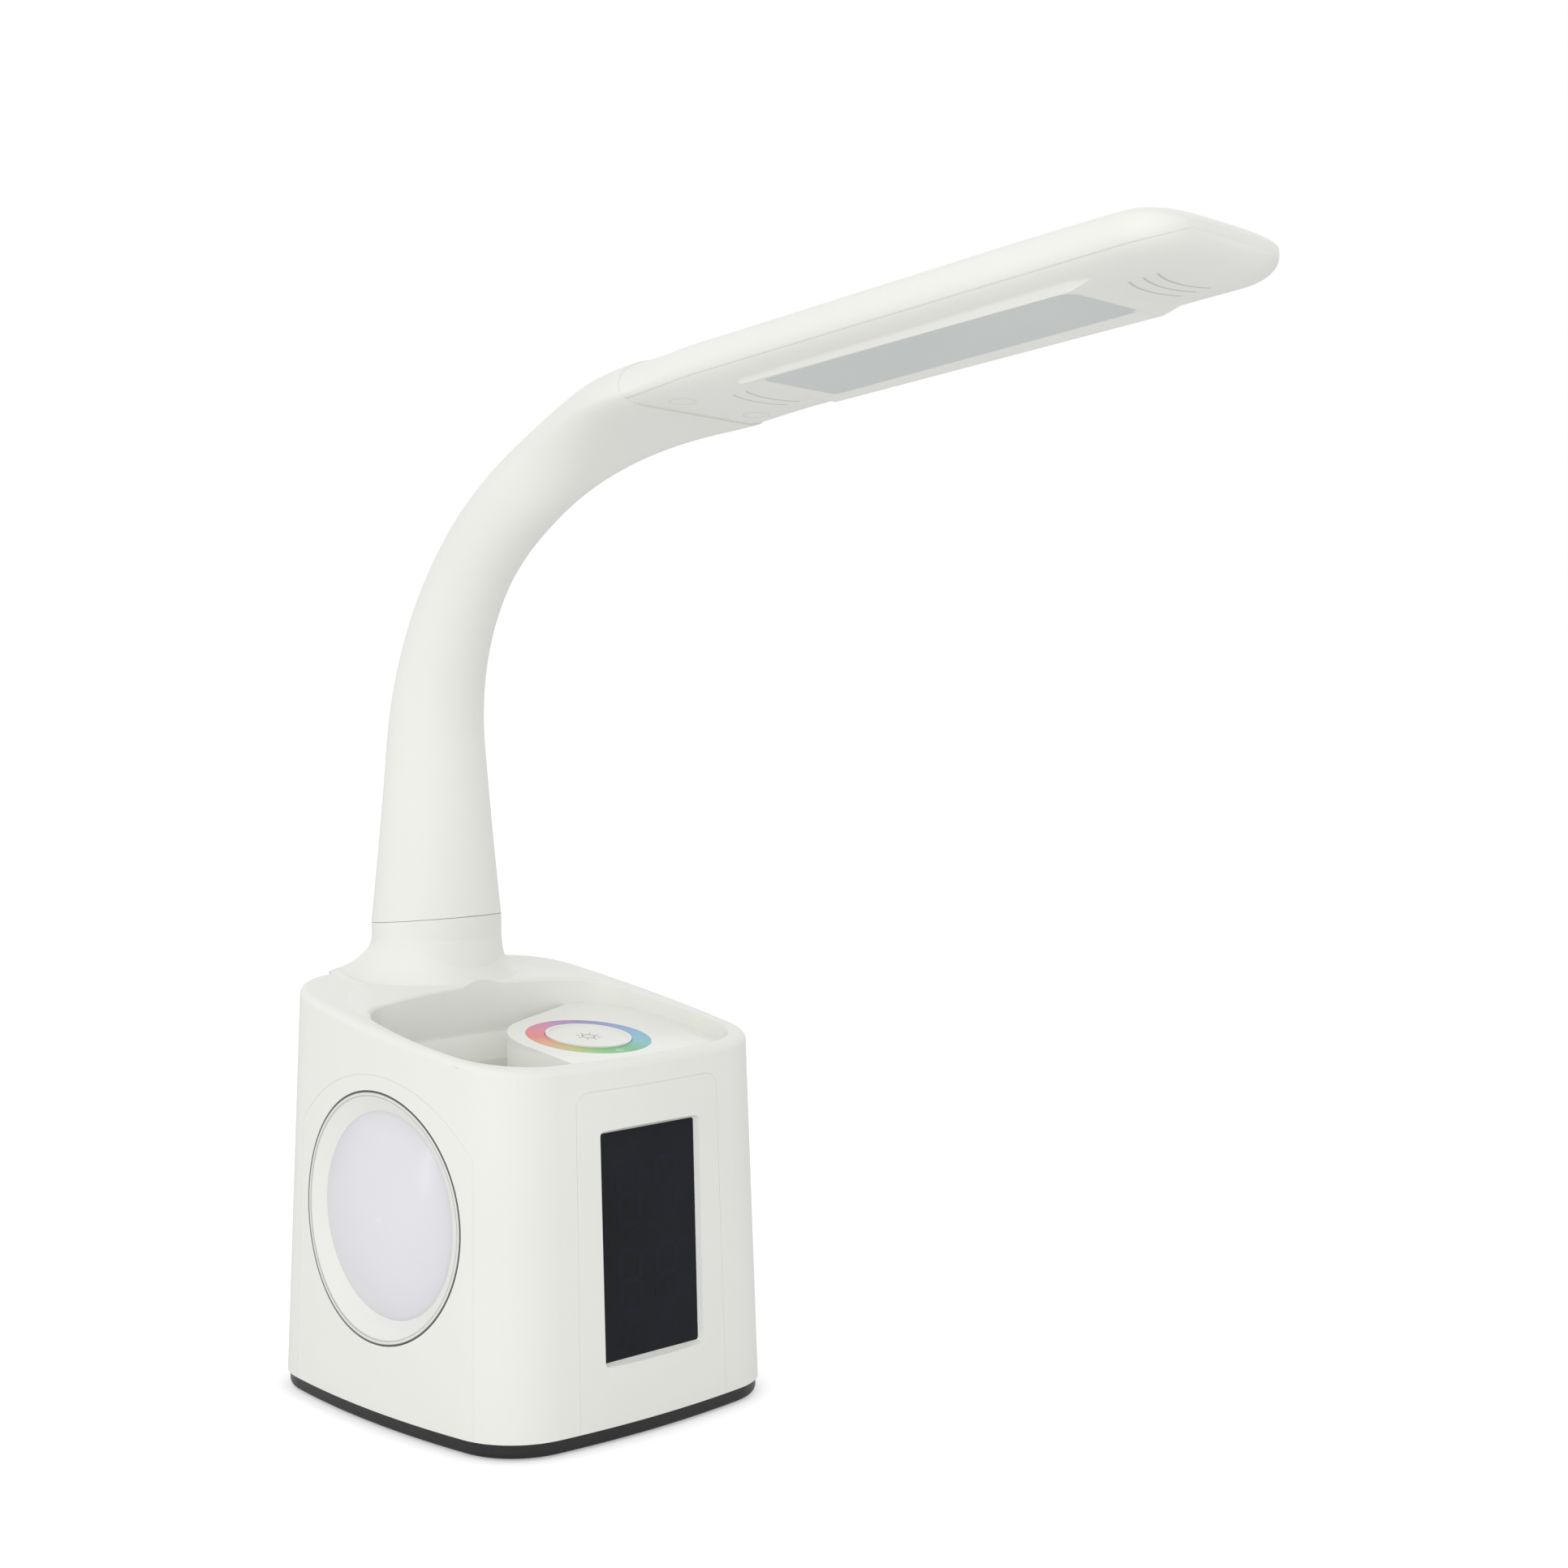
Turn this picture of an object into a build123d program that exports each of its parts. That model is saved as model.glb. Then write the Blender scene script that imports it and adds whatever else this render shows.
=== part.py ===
"""Desk lamp with a pen holder, a display, a round night light and a bendable neck.

Millimetres. The origin is the middle of the base on the table, +Z is up, -Y is the front
with the display, -X is the side with the night light.
"""
import os
from math import atan, cos, degrees, radians, sin, sqrt, tan

from build123d import *

# Fits, shared walls, and how far cutting blocks reach past what they cut
seam_gap = 0.2
seat_gap = 0.1
joint_gap = 0.3
cut_margin = 6.0
overrun = 60.0
shell_wall = 2.5
pocket_wall = 1.8
board_thickness = 1.2

# Base body: a rounded square with bowed sides, leaning a little inwards
base_half_width = 62.2
base_front_depth = 67.2
base_back_depth = 70.5
side_bow = 5.7
front_bow = 5.2
back_bow = 8.5
corner_radius = 24.0
body_bottom = 5.5
front_lean = 2.13
side_lean = 1.2
back_lean = 2.4

# Rim: it rises to the back and sags a little between its ends
rim_front_height = 118.0
rim_back_height = 137.4
rim_sag = 1.0
rim_outer_round = 2.4
rim_inner_round = 1.4


def rim_share(along):
    """How far a place along Y lies from the rim's front end to its back end, from 0 to 1."""
    return (along + base_front_depth) / (base_front_depth + base_back_depth)


def rim_height(along):
    """The rim's height over a place along Y."""
    share = rim_share(along)
    chord = rim_front_height + (rim_back_height - rim_front_height) * share
    return chord - 4 * rim_sag * share * (1 - share)


def rim_slope(along):
    """The rim's slope over a place along Y, in degrees."""
    climb = rim_back_height - rim_front_height - 4 * rim_sag * (1 - 2 * rim_share(along))
    return degrees(atan(climb / (base_front_depth + base_back_depth)))


rim_middle_y = (base_back_depth - base_front_depth) / 2
rim_middle_height = rim_height(rim_middle_y)

# Collar: it stands on the rim at the back
neck_inset = 24.0
collar_radius = 22.0
collar_height = 19.56
collar_straight = 5.5
collar_flare = 10.5
collar_shift_share = 0.3
collar_foot_lift = 0.9
corbel_drop = 45.0
corbel_lead = 6.0
collar_steps = 6
collar_wall = 4.0
seam_tilt = 6.0
neck_y = base_back_depth - neck_inset
seam_height = rim_height(neck_y) + collar_height
collar_flare_top = seam_height - collar_straight

# Shoulder: the low arch in front of the collar, between it and the opening
shoulder_rise = 3.6
shoulder_width_share = 0.852
shoulder_slope_share = 0.5
shoulder_ramp = 45.0
shoulder_lead = 4.0
shoulder_edge = 0.6
shoulder_half_width = base_half_width * shoulder_width_share

# Opening at the top, pen pocket and deck
rim_side_width = 7.2
rim_front_width = 9.8
rim_back_gap = 2.7
opening_side_bow = 4.0
opening_front_bow = 4.8
opening_back_bow = 3.0
opening_front_radius = 24.0
opening_back_radius = 13.0
funnel_side = 5.5
funnel_front = 4.9
funnel_back = 1.8
funnel_drop = 3.8
funnel_height = 9.0
pocket_bow = 3.0
pocket_radius = 13.0
pocket_floor = 46.0
deck_sink = 6.67
deck_ease = 1.17
deck_wall = 2.5
opening_half_width = base_half_width - rim_side_width
opening_front = base_front_depth - rim_front_width
opening_back = neck_y - collar_radius - rim_back_gap
pocket_half_width = opening_half_width - funnel_side
pocket_front = opening_front - funnel_front
pocket_back = opening_back - funnel_back
deck_height = rim_height(0) - deck_sink
deck_slope = rim_slope(rim_middle_y) - deck_ease
funnel_top = deck_height - funnel_drop
funnel_bottom = funnel_top - funnel_height

# Pod with the touch control
pod_across_share = 0.267
pod_shift = 1.7
pod_radius_share = 0.337
pod_back_turn = 20.8
pod_rim = 6.0
touch_ring_width = 6.4
touch_recess = 1.0
touch_disc_lip = 0.5
touch_lip_width = 1.0
touch_board_lap = 1.3
pod_x = opening_half_width * pod_across_share
pod_y = (opening_back - opening_front) / 2 + pod_shift
pod_radius = (opening_front + opening_back) * pod_radius_share
touch_ring_radius = pod_radius - pod_rim
touch_disc_radius = touch_ring_radius - touch_ring_width
touch_board_radius = touch_ring_radius + touch_board_lap

# Neck line, sleeve and gooseneck
neck_straight = 57.9
lower_bend_radius = 97.3
lower_bend = 52.0
upper_bend_radius = 165.0
upper_bend = 29.8
sleeve_radius = 13.0
sleeve_flare_length = 130.0
sleeve_flare_power = 1.5
sleeve_widen_start = 172.0
sleeve_proud = 0.5
sleeve_flat_start_share = 0.02
gooseneck_radius = 4.0
gooseneck_bore = 2.2
gooseneck_end = 6.0
joint_first = 42.0
joint_step = 30.0
joint_count = 6
neck_nut_wall = 5.0
neck_nut_height = 6.0
neck_nut_sides = 6
neck_boss_wall = 3.5
neck_boss_drop = 5.0
neck_straight_top = seam_height + neck_straight
sleeve_foot_flare = collar_radius - sleeve_radius
neck_nut_radius = gooseneck_radius + neck_nut_wall
neck_boss_radius = gooseneck_radius + neck_boss_wall
neck_boss_bottom = deck_height + neck_y * tan(radians(deck_slope)) - deck_wall - neck_boss_drop
gooseneck_foot = neck_boss_bottom - neck_nut_height - gooseneck_end

# Lamp head, measured along its own axis from the end of the upper bend
head_start = 12.0
head_length = 200.0
head_half_width = 29.0
head_twist = 4.3
head_seam = -2.8
head_crest = 14.3
head_belly = 2.9
head_flat_share = 0.667
head_scarf = 22.0
scarf_reach = 6.0
head_wall = 2.0
cover_gap = 0.15
head_nose = 15.0
head_corner_inset = 13.0
head_nose_power = 0.75
head_nose_turn = 80.0
head_nose_steps = 5
head_tip_half_width = head_half_width - head_corner_inset
head_end = head_start + head_length

# Raised frame, window and vent slots on the head's underside
bezel_start_inset = 37.5
bezel_end_inset = 25.5
bezel_start_ramp = 8.5
bezel_end_ramp = 10.5
bezel_side_inset = 5.5
bezel_side_ramp = 3.6
bezel_rise = 1.3
bezel_radius = 4.0
window_start_inset = 1.6
window_end_inset = 4.0
window_side_inset = 4.4
window_radius = 2.0
diffuser_lap = 1.6
diffuser_thickness = 2.0
diffuser_recess = 1.8
slot_width = 1.5
slot_half_length = 11.0
slot_pitch = 4.3
slot_bow = 2.5
slot_clearance = 2.1
neck_slot_inset = 26.6
neck_slot_count = 3
tip_slot_count = 3
bezel_start = head_start + bezel_start_inset
bezel_end = head_end - bezel_end_inset
bezel_crown_start = bezel_start + bezel_start_ramp
bezel_crown_end = bezel_end - bezel_end_ramp
bezel_half_width = head_half_width - bezel_side_inset
window_start = bezel_crown_start + window_start_inset
window_end = bezel_crown_end - window_end_inset
window_half_width = bezel_half_width - bezel_side_ramp - window_side_inset
neck_slot_place = head_start + neck_slot_inset
tip_slot_place = bezel_end + slot_clearance

# Inside the head: screws, plugs, light board and clamp
plug_inset = 13.0
plug_side_inset = 14.0
plug_radius = 4.0
plug_thickness = 1.2
screw_radius = 1.5
screw_head_radius = 2.8
screw_head_height = 2.0
screw_length = 11.0
boss_radius = 3.6
light_board_margin = 2.5
light_board_lift = 4.2
light_row_count = 2
light_column_count = 12
light_size = 3.0
light_height = 0.7
post_radius = 1.6
clamp_length = 20.0
clamp_wall = 5.0
plug_place = head_start + plug_inset
plug_offset = head_half_width - plug_side_inset
clamp_half_width = gooseneck_radius + clamp_wall

# Front panel and display
panel_bottom_share = 0.4936
panel_top_share = 0.4695
panel_drop = 7.6
panel_radius = 5.0
panel_thickness = 2.5
panel_depth = 19.2
display_share = 0.3183
display_bottom = 25.2
display_margin = 13.6
display_radius = 1.0
display_flare = 1.2
display_lap = 1.6
display_window_thickness = 1.2
display_module_thickness = 2.4
clock_board_margin = 2.5
panel_half_bottom = base_half_width * panel_bottom_share
panel_half_top = base_half_width * panel_top_share
panel_top = rim_front_height - panel_drop
display_half_width = base_half_width * display_share
display_top = panel_top - display_margin

# Side panel and night light
night_shift = -3.15
night_radius_share = 0.581
night_ring_wall = 1.6
night_depth = 5.2
night_top_margin = 5.0
night_dish_wall = 1.5
night_dome_inset = 6.4
night_dome_rise = 4.2
night_dome_wall = 1.6
night_board_inset = 11.0
night_light_inset = 22.0
night_light_count = 6
side_panel_drop = 14.7
side_panel_margin = 4.0
side_panel_taper = 2.6
side_panel_arch_margin = 18.0
side_panel_depth = 24.2
night_y = rim_middle_y + night_shift
night_ring_radius = (base_front_depth + base_back_depth) / 2 * night_radius_share
side_panel_top = rim_middle_height - side_panel_drop
side_panel_half_width = night_ring_radius + side_panel_margin
side_panel_arch_radius = night_ring_radius + side_panel_arch_margin
night_z = side_panel_top - night_ring_radius - night_top_margin
night_dome_radius = night_ring_radius - night_dome_inset
night_board_radius = night_ring_radius - night_board_inset
night_light_circle = night_ring_radius - night_light_inset

# Base plate, rubber pad and fasteners
foot_height = 0.6
foot_sink = 0.8
pad_side_inset = 16.2
pad_front_inset = 15.2
pad_corner_inset = 4.0
pad_width = 6.0
plate_inset = 0.7
plate_round = 1.8
plate_spigot = 3.0
plate_floor = 2.4
plate_wall = 2.0
plate_boss_radius = 5.0
base_screw_edge = 10.1
base_screw_corner_share = 0.15
base_boss_radius = 4.6
base_boss_height = 24.0
base_screw_length = 12.0
pad_half_width = base_half_width - pad_side_inset
pad_half_length = base_front_depth - pad_front_inset
pad_radius = corner_radius - pad_corner_inset
base_screw_inset = base_screw_edge + corner_radius * base_screw_corner_share

# Back of the base: power inlet, main board and ballast
inlet_z = 25.0
inlet_radius = 4.2
inlet_body_width = 9.5
inlet_body_height = 11.0
inlet_body_length = 13.0
inlet_bore_radius = 2.9
inlet_bore_depth = 9.5
inlet_pin_radius = 1.0
inlet_board_inset = 16.0
main_board_side_inset = 22.2
main_board_width = 40.0
main_board_back_inset = 8.5
main_board_length = 42.0
main_board_post_inset = 4.0
main_board_post_radius = 2.6
ballast_side_inset = 24.2
ballast_front_inset = 19.2
ballast_board_gap = 8.0
ballast_thickness = 5.0
ballast_radius = 6.0
main_board_right = base_half_width - main_board_side_inset
main_board_left = main_board_right - main_board_width
main_board_back = base_back_depth - main_board_back_inset
main_board_front = main_board_back - main_board_length
inlet_x = main_board_right - inlet_board_inset
ballast_half_width = base_half_width - ballast_side_inset
ballast_front = base_front_depth - ballast_front_inset
ballast_back = main_board_front - ballast_board_gap

# Set buttons for the clock, on the back
button_count = 3
button_pitch = 15.0
button_z = 72.0
button_radius = 3.6
button_clearance = 0.25
button_proud = 1.2
button_flange = 1.1
button_flange_thickness = 1.0
button_stem_radius = 1.4
button_travel = 0.6
button_board_gap = 5.0
dome_height = 0.5
dome_radius = 2.4
button_board_margin = 7.0
button_board_half_height = 8.0


def at_height(face, height):
    """Lifts a flat face to a height."""
    return Pos(0, 0, height) * face


def ellipse_arc(middle, across, high, start, turn):
    """A stretch of an ellipse, from a start angle through a turn."""
    return EllipticalCenterArc(middle, across, high, start_angle=start, arc_size=turn)


def bowed_outline(half_width, front, back, bows, radii):
    """Four bowed sides with rounded corners. The sizes are to the middle of each side.

    The bows are those of the sides, the front and the back; the radii those of the front and back corners.
    """
    side_x = half_width - bows[0]
    front_y = -(front - bows[1])
    back_y = back - bows[2]
    middle_y = (back - front) / 2
    sides = Curve() + [
        ThreePointArc((-side_x, front_y), (0, -front), (side_x, front_y)),
        ThreePointArc((side_x, front_y), (half_width, middle_y), (side_x, back_y)),
        ThreePointArc((side_x, back_y), (0, back), (-side_x, back_y)),
        ThreePointArc((-side_x, back_y), (-half_width, middle_y), (-side_x, front_y)),
    ]
    face = make_face(sides)
    face = fillet(face.vertices().filter_by(lambda corner: corner.Y < middle_y), radii[0])
    return fillet(face.vertices().sort_by(Axis.Y)[-2:], radii[1])


def plan_face(height, inset=0):
    """The base body's outline at a height, drawn in by an inset."""
    rise = height - body_bottom
    half_width = base_half_width - rise * tan(radians(side_lean)) - inset
    front = base_front_depth - rise * tan(radians(front_lean)) - inset
    back = base_back_depth - rise * tan(radians(back_lean)) - inset
    radius = corner_radius - inset
    face = bowed_outline(half_width, front, back, (side_bow, front_bow, back_bow), (radius, radius))
    return at_height(face, height)


def body_block(bottom, top, inset=0):
    """A leaning block with the base body's outline."""
    return loft([plan_face(bottom, inset), plan_face(top, inset)], ruled=True)


def deck_plane(drop=0):
    """The sloping plane of the deck, lowered square to itself by a drop, at the pod's middle."""
    middle = deck_height + pod_y * tan(radians(deck_slope))
    normal = (0, -sin(radians(deck_slope)), cos(radians(deck_slope)))
    return Plane(origin=(pod_x, pod_y, middle), x_dir=(1, 0, 0), z_dir=normal).offset(-drop)


def above_deck(drop=0):
    """Everything above the deck's plane."""
    size = base_half_width + base_back_depth + overrun
    return deck_plane(drop) * extrude(Rectangle(size + size, size + size), size)


def top_height():
    """A height above the rim's highest place."""
    return max(rim_front_height, rim_back_height) + overrun


def above_rim():
    """Everything above the rim, which rises to the back along an arc."""
    arc = ThreePointArc(
        (-base_front_depth, rim_front_height), (rim_middle_y, rim_middle_height),
        (base_back_depth, rim_back_height),
    )
    high = top_height()
    rest = Polyline(arc @ 1, (base_back_depth, high), (-base_front_depth, high), arc @ 0)
    profile = Plane.YZ * make_face(Curve() + [arc, rest])
    return extrude(profile, base_half_width + overrun, both=True)


def round_face(radius):
    """A disc whose edge is two half circles."""
    return make_face(Curve() + [CenterArc((0, 0), radius, 0, 180), CenterArc((0, 0), radius, 180, 180)])


def collar():
    """The neck's collar: circles that widen downwards, shift back and tilt to lie on the rim."""
    foot_y = neck_y + collar_flare * collar_shift_share
    foot_top = rim_height(foot_y) + collar_foot_lift
    sections = []
    for step in range(collar_steps + 1):
        share = step / collar_steps
        widen = collar_flare * (1 - sqrt(1 - share * share))
        height = collar_flare_top - (collar_flare_top - foot_top) * share
        tilt = radians(rim_slope(foot_y) * share)
        place = Plane(
            origin=(0, neck_y + widen * collar_shift_share, height),
            x_dir=(1, 0, 0), z_dir=(0, -sin(tilt), cos(tilt)),
        )
        sections.append(place * round_face(collar_radius + widen))
    flare = loft(sections)
    rise = seam_height - collar_flare_top + overrun
    straight = Pos(0, neck_y, collar_flare_top) * extrude(Circle(collar_radius), rise)
    straight += flare & body_block(body_bottom, seam_height)
    return (straight + corbel()) - above_seam()


def corbel():
    """Carries the collar where it stands out behind the leaning wall, and runs out into that wall."""
    ring = round_face(collar_radius)
    top = Pos(0, neck_y, collar_flare_top) * ring
    foot = Pos(0, neck_y - corbel_lead, collar_flare_top - corbel_drop) * ring
    return loft([foot, top], ruled=True)


def shoulder():
    """The low arch between the opening and the collar: crowned across, ramped down to the rim in front."""
    start = rim_height(opening_back)
    slope = radians(rim_slope(opening_back) * shoulder_slope_share)
    arch = ThreePointArc((-shoulder_half_width, 0), (0, shoulder_rise), (shoulder_half_width, 0))
    half = shoulder_half_width
    low = Polyline(arch @ 1, (half, -cut_margin), (-half, -cut_margin), arch @ 0)
    place = Plane(origin=(0, opening_back, start), x_dir=(-1, 0, 0), z_dir=(0, cos(slope), sin(slope)))
    block = place * extrude(make_face(Curve() + [arch, low]), base_back_depth, both=True)
    ramp = Plane(
        origin=(0, opening_back - opening_back_bow - shoulder_lead, start), x_dir=(1, 0, 0),
        z_dir=(0, -sin(radians(shoulder_ramp)), cos(radians(shoulder_ramp))),
    )
    size = base_half_width + base_back_depth + overrun
    block -= ramp * extrude(Rectangle(size + size, size + size), size)
    block &= body_block(body_bottom, top_height(), rim_outer_round + shoulder_edge)
    block -= opening_block()
    upper = block.edges().filter_by(lambda edge: (edge @ 0.5).Z > start - rim_inner_round)
    return fillet(upper.filter_by(on_opening), rim_inner_round)


def on_opening(edge):
    """Whether an edge runs along the opening's outline."""
    middle = edge @ 0.5
    return opening_face().face().outer_wire().distance_to(Vertex(middle.X, middle.Y, 0)) < seat_gap


def seam_plane():
    """The tilted plane where the sleeve meets the collar, lower at the back."""
    normal = (0, sin(radians(seam_tilt)), cos(radians(seam_tilt)))
    return Plane(origin=(0, neck_y, seam_height), x_dir=(1, 0, 0), z_dir=normal)


def above_seam():
    """Everything above the collar's seam."""
    size = collar_radius + collar_flare + overrun
    return seam_plane() * extrude(Rectangle(size, size), size + size)


def opening_face(grow=0):
    """The outline inside the rim."""
    return bowed_outline(
        opening_half_width + grow, opening_front + grow, opening_back + grow,
        (opening_side_bow, opening_front_bow, opening_back_bow),
        (opening_front_radius + grow, opening_back_radius + grow),
    )


def opening_block():
    """The space inside the rim, above the deck."""
    return at_height(extrude(opening_face(), top_height() - pocket_floor), pocket_floor)


def pod_block(grow=0):
    """The pod and the deck behind and beside it, as a prism that the pocket goes round."""
    radius = pod_radius - grow
    far = base_half_width + overrun
    left = pod_x - radius
    turn = radians(90 + pod_back_turn)
    tangent = (pod_x + radius * cos(turn), pod_y + radius * sin(turn))
    reach = far - tangent[0]
    outer = (far, tangent[1] + reach * tan(radians(pod_back_turn)))
    arc = CenterArc((pod_x, pod_y), radius, 90 + pod_back_turn, 90 - pod_back_turn)
    edges = Curve() + [
        arc,
        Polyline((left, pod_y), (left, -far), (far, -far), outer, tangent),
    ]
    return at_height(extrude(make_face(edges), top_height() + overrun), -overrun)


def pocket_block(grow=0):
    """The pen pocket with its funnel. A positive grow gives the outside of its walls."""
    mouth = opening_face(grow)
    tub = bowed_outline(
        pocket_half_width + grow, pocket_front + grow, pocket_back + grow,
        (pocket_bow, pocket_bow, pocket_bow), (pocket_radius + grow, pocket_radius + grow),
    )
    funnel = loft([at_height(tub, funnel_bottom), at_height(mouth, funnel_top)], ruled=True)
    floor = pocket_floor - grow
    well = at_height(extrude(tub, funnel_bottom - floor), floor)
    throat = at_height(extrude(mouth, overrun), funnel_top)
    return (well + funnel + throat) - pod_block(grow)


def corner_places(inset):
    """The four corners of the base, drawn in by an inset from the widest lines."""
    across = base_half_width - inset
    return [
        (-across, -(base_front_depth - inset)), (across, -(base_front_depth - inset)),
        (across, base_back_depth - inset - (back_bow - front_bow)),
        (-across, base_back_depth - inset - (back_bow - front_bow)),
    ]


def column(place, radius, bottom, top):
    """An upright round column."""
    return Pos(place[0], place[1], bottom) * extrude(Circle(radius), top - bottom)


def inside_room():
    """The hollow of the base, without the pocket's walls, the screw bosses and the neck boss."""
    room = body_block(body_bottom - cut_margin, top_height(), shell_wall) - above_deck(deck_wall)
    room -= pocket_block(pocket_wall)
    spigot_top = body_bottom + plate_spigot
    for place in corner_places(base_screw_inset):
        room -= column(place, base_boss_radius, spigot_top, spigot_top + base_boss_height)
    return room - column((0, neck_y), neck_boss_radius, neck_boss_bottom, top_height())


def collar_room():
    """The hollow ring inside the collar, round the neck boss."""
    top = seam_height - collar_wall - collar_radius * tan(radians(seam_tilt))
    bottom = neck_boss_bottom
    ring = Circle(collar_radius - collar_wall) - Circle(neck_boss_radius)
    return Pos(0, neck_y, bottom) * extrude(ring, top - bottom)


def front_panel_prism(grow=0):
    """The front panel's outline pushed through the front wall."""
    half_top = panel_half_top + grow
    half_bottom = panel_half_bottom + grow
    top = panel_top + grow
    low = body_bottom - cut_margin
    points = [(-half_bottom, low), (half_bottom, low), (half_top, top), (-half_top, top)]
    face = make_face(Polyline(*points, close=True))
    upper = face.vertices().group_by(Axis.Y)[-1]
    face = fillet(upper, panel_radius)
    return Plane.XZ.offset(base_front_depth - panel_depth) * extrude(face, panel_depth + overrun)


def side_panel_prism(grow=0):
    """The side panel's arched outline pushed through the left wall."""
    half = side_panel_half_width + grow
    foot = half + side_panel_taper
    radius = side_panel_arch_radius + grow
    middle = side_panel_top - side_panel_arch_radius
    spring = middle + sqrt(radius * radius - half * half)
    low = body_bottom - cut_margin
    arch = ThreePointArc((half, spring), (0, middle + radius), (-half, spring))
    rest = Polyline(arch @ 1, (-foot, low), (foot, low), arch @ 0)
    face = make_face(Curve() + [arch, rest])
    start = base_half_width - side_panel_depth
    place = Plane(origin=(-start, night_y, 0), x_dir=(0, -1, 0), z_dir=(-1, 0, 0))
    return place * extrude(face, side_panel_depth + overrun)


def front_plane(depth=0):
    """The display's plane: on the leaning front face, pushed in by a depth, level with the table line."""
    lean = radians(front_lean)
    start = -base_front_depth - body_bottom * tan(lean) + depth / cos(lean)
    return Plane(origin=(0, start, 0), x_dir=(1, 0, 0), z_dir=(0, -cos(lean), sin(lean)))


def display_face(grow=0):
    """The display opening's outline, on the display's plane."""
    stretch = 1 / cos(radians(front_lean))
    bottom = display_bottom * stretch - grow
    top = display_top * stretch + grow
    return Pos(0, (bottom + top) / 2) * RectangleRounded(
        2 * (display_half_width + grow), top - bottom, display_radius + grow / 2
    )


def plate_on_front(face, depth, thickness):
    """A flat plate on the display's plane whose outer side lies at a depth."""
    return front_plane(depth + thickness) * extrude(face, thickness)


def front_panel():
    panel = body_block(body_bottom, top_height()) & front_panel_prism()
    back = overrun + overrun
    block = extrude(Rectangle(back, back + back), back)
    panel -= front_plane(panel_thickness + back) * Pos(0, panel_top / 2) * block
    opening = front_plane(panel_thickness) * loft(
        [display_face(), Pos(0, 0, panel_thickness) * display_face(display_flare)], ruled=True
    )
    return panel - opening - plate_on_front(display_face(display_flare), -overrun, overrun)


def night_plane(depth=0):
    """The night light's upright plane on the left side, pushed in by a depth."""
    wall = base_half_width - (night_z - body_bottom) * tan(radians(side_lean))
    return Plane(origin=(depth - wall, night_y, night_z), x_dir=(0, -1, 0), z_dir=(-1, 0, 0))


def side_panel():
    wall = body_block(body_bottom, rim_middle_height)
    wall -= body_block(body_bottom - cut_margin, rim_middle_height + cut_margin, shell_wall)
    panel = wall & side_panel_prism()
    return panel - night_plane(overrun) * extrude(Circle(night_ring_radius + seam_gap), overrun * 2)


def night_light_ring():
    ring = Circle(night_ring_radius) - Circle(night_ring_radius - night_ring_wall)
    blank = night_plane(night_depth) * extrude(ring, overrun)
    return blank & body_block(body_bottom, rim_middle_height)


def night_light_dish():
    """A shallow dish: a sloping ring whose inner edge carries the dome."""
    outer = night_ring_radius - night_ring_wall - seat_gap
    inner = night_board_radius - night_dish_wall
    back = night_depth + night_dish_wall
    bowl = night_plane(back) * extrude(Circle(outer) - Circle(inner), night_dish_wall)
    lip_outer = night_ring_radius
    lip = night_plane(back) * extrude(Circle(lip_outer) - Circle(inner), night_dish_wall - seat_gap)
    return bowl + lip


def dome_cap(radius, rise):
    """A cap of a sphere on the X axis of the night light."""
    sphere_radius = (radius * radius + rise * rise) / (2 * rise)
    profile = make_face(
        Curve() + [
            ThreePointArc(
                (radius, 0),
                (radius / 2, sqrt(sphere_radius ** 2 - radius ** 2 / 4) - (sphere_radius - rise)),
                (0, rise),
            ),
            Polyline((0, rise), (0, 0), (radius, 0)),
        ]
    )
    return revolve(Plane.XZ * profile, Axis.Z)


def night_light_dome():
    outer = dome_cap(night_dome_radius, night_dome_rise)
    inner = dome_cap(night_dome_radius - night_dome_wall, night_dome_rise - night_dome_wall)
    return night_plane(night_depth - seat_gap) * (outer - inner)


def night_light_board():
    depth = night_depth + night_dish_wall + board_thickness
    return night_plane(depth) * extrude(Circle(night_board_radius), board_thickness)


def night_light_chips():
    depth = night_depth + night_dish_wall
    chips = []
    for place in PolarLocations(night_light_circle, night_light_count):
        chips.append(night_plane(depth) * place * extrude(Rectangle(light_size, light_size), light_height))
    return chips


def rimmed_body():
    """The body under its rounded rim, with the opening sunk down to the deck."""
    body = body_block(body_bottom, top_height()) - above_rim()
    body -= opening_block() & above_deck()
    rim = body.faces().filter_by(lambda face: len(face.inner_wires()) == 1).sort_by(Axis.Z)[-1]
    body = fillet(rim.outer_wire().edges(), rim_outer_round)
    rim = body.faces().filter_by(lambda face: len(face.inner_wires()) == 1).sort_by(Axis.Z)[-1]
    return fillet(rim.inner_wires()[0].edges(), rim_inner_round) + shoulder()


def wall_only(prism):
    """The part of a prism that lies in the outer wall and just behind it."""
    return prism - body_block(body_bottom - overrun, top_height(), shell_wall + panel_thickness)


def base_shell():
    """The moulding: outside, rim, collar, opening, pocket, hollow inside and the cut-outs in its walls."""
    body = rimmed_body()
    body += collar()
    body -= pocket_block()
    body -= inside_room()
    body -= collar_room()
    neck_bore = gooseneck_radius + seat_gap
    body -= column((0, neck_y), neck_bore, neck_boss_bottom - overrun, seam_height + overrun)
    body -= wall_only(front_panel_prism(seam_gap))
    body -= wall_only(side_panel_prism(seam_gap))
    spigot_top = body_bottom + plate_spigot
    for place in corner_places(base_screw_inset):
        body -= column(place, screw_radius, spigot_top - overrun, spigot_top + base_screw_length)
    recess = Circle(touch_ring_radius + seat_gap)
    body -= deck_plane(touch_recess) * extrude(recess, touch_recess)
    body -= inlet_cut()
    for place in button_places():
        hole = Circle(button_radius + button_clearance)
        body -= button_plane(place) * extrude(hole, overrun / 2, both=True)
    return body


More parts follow.
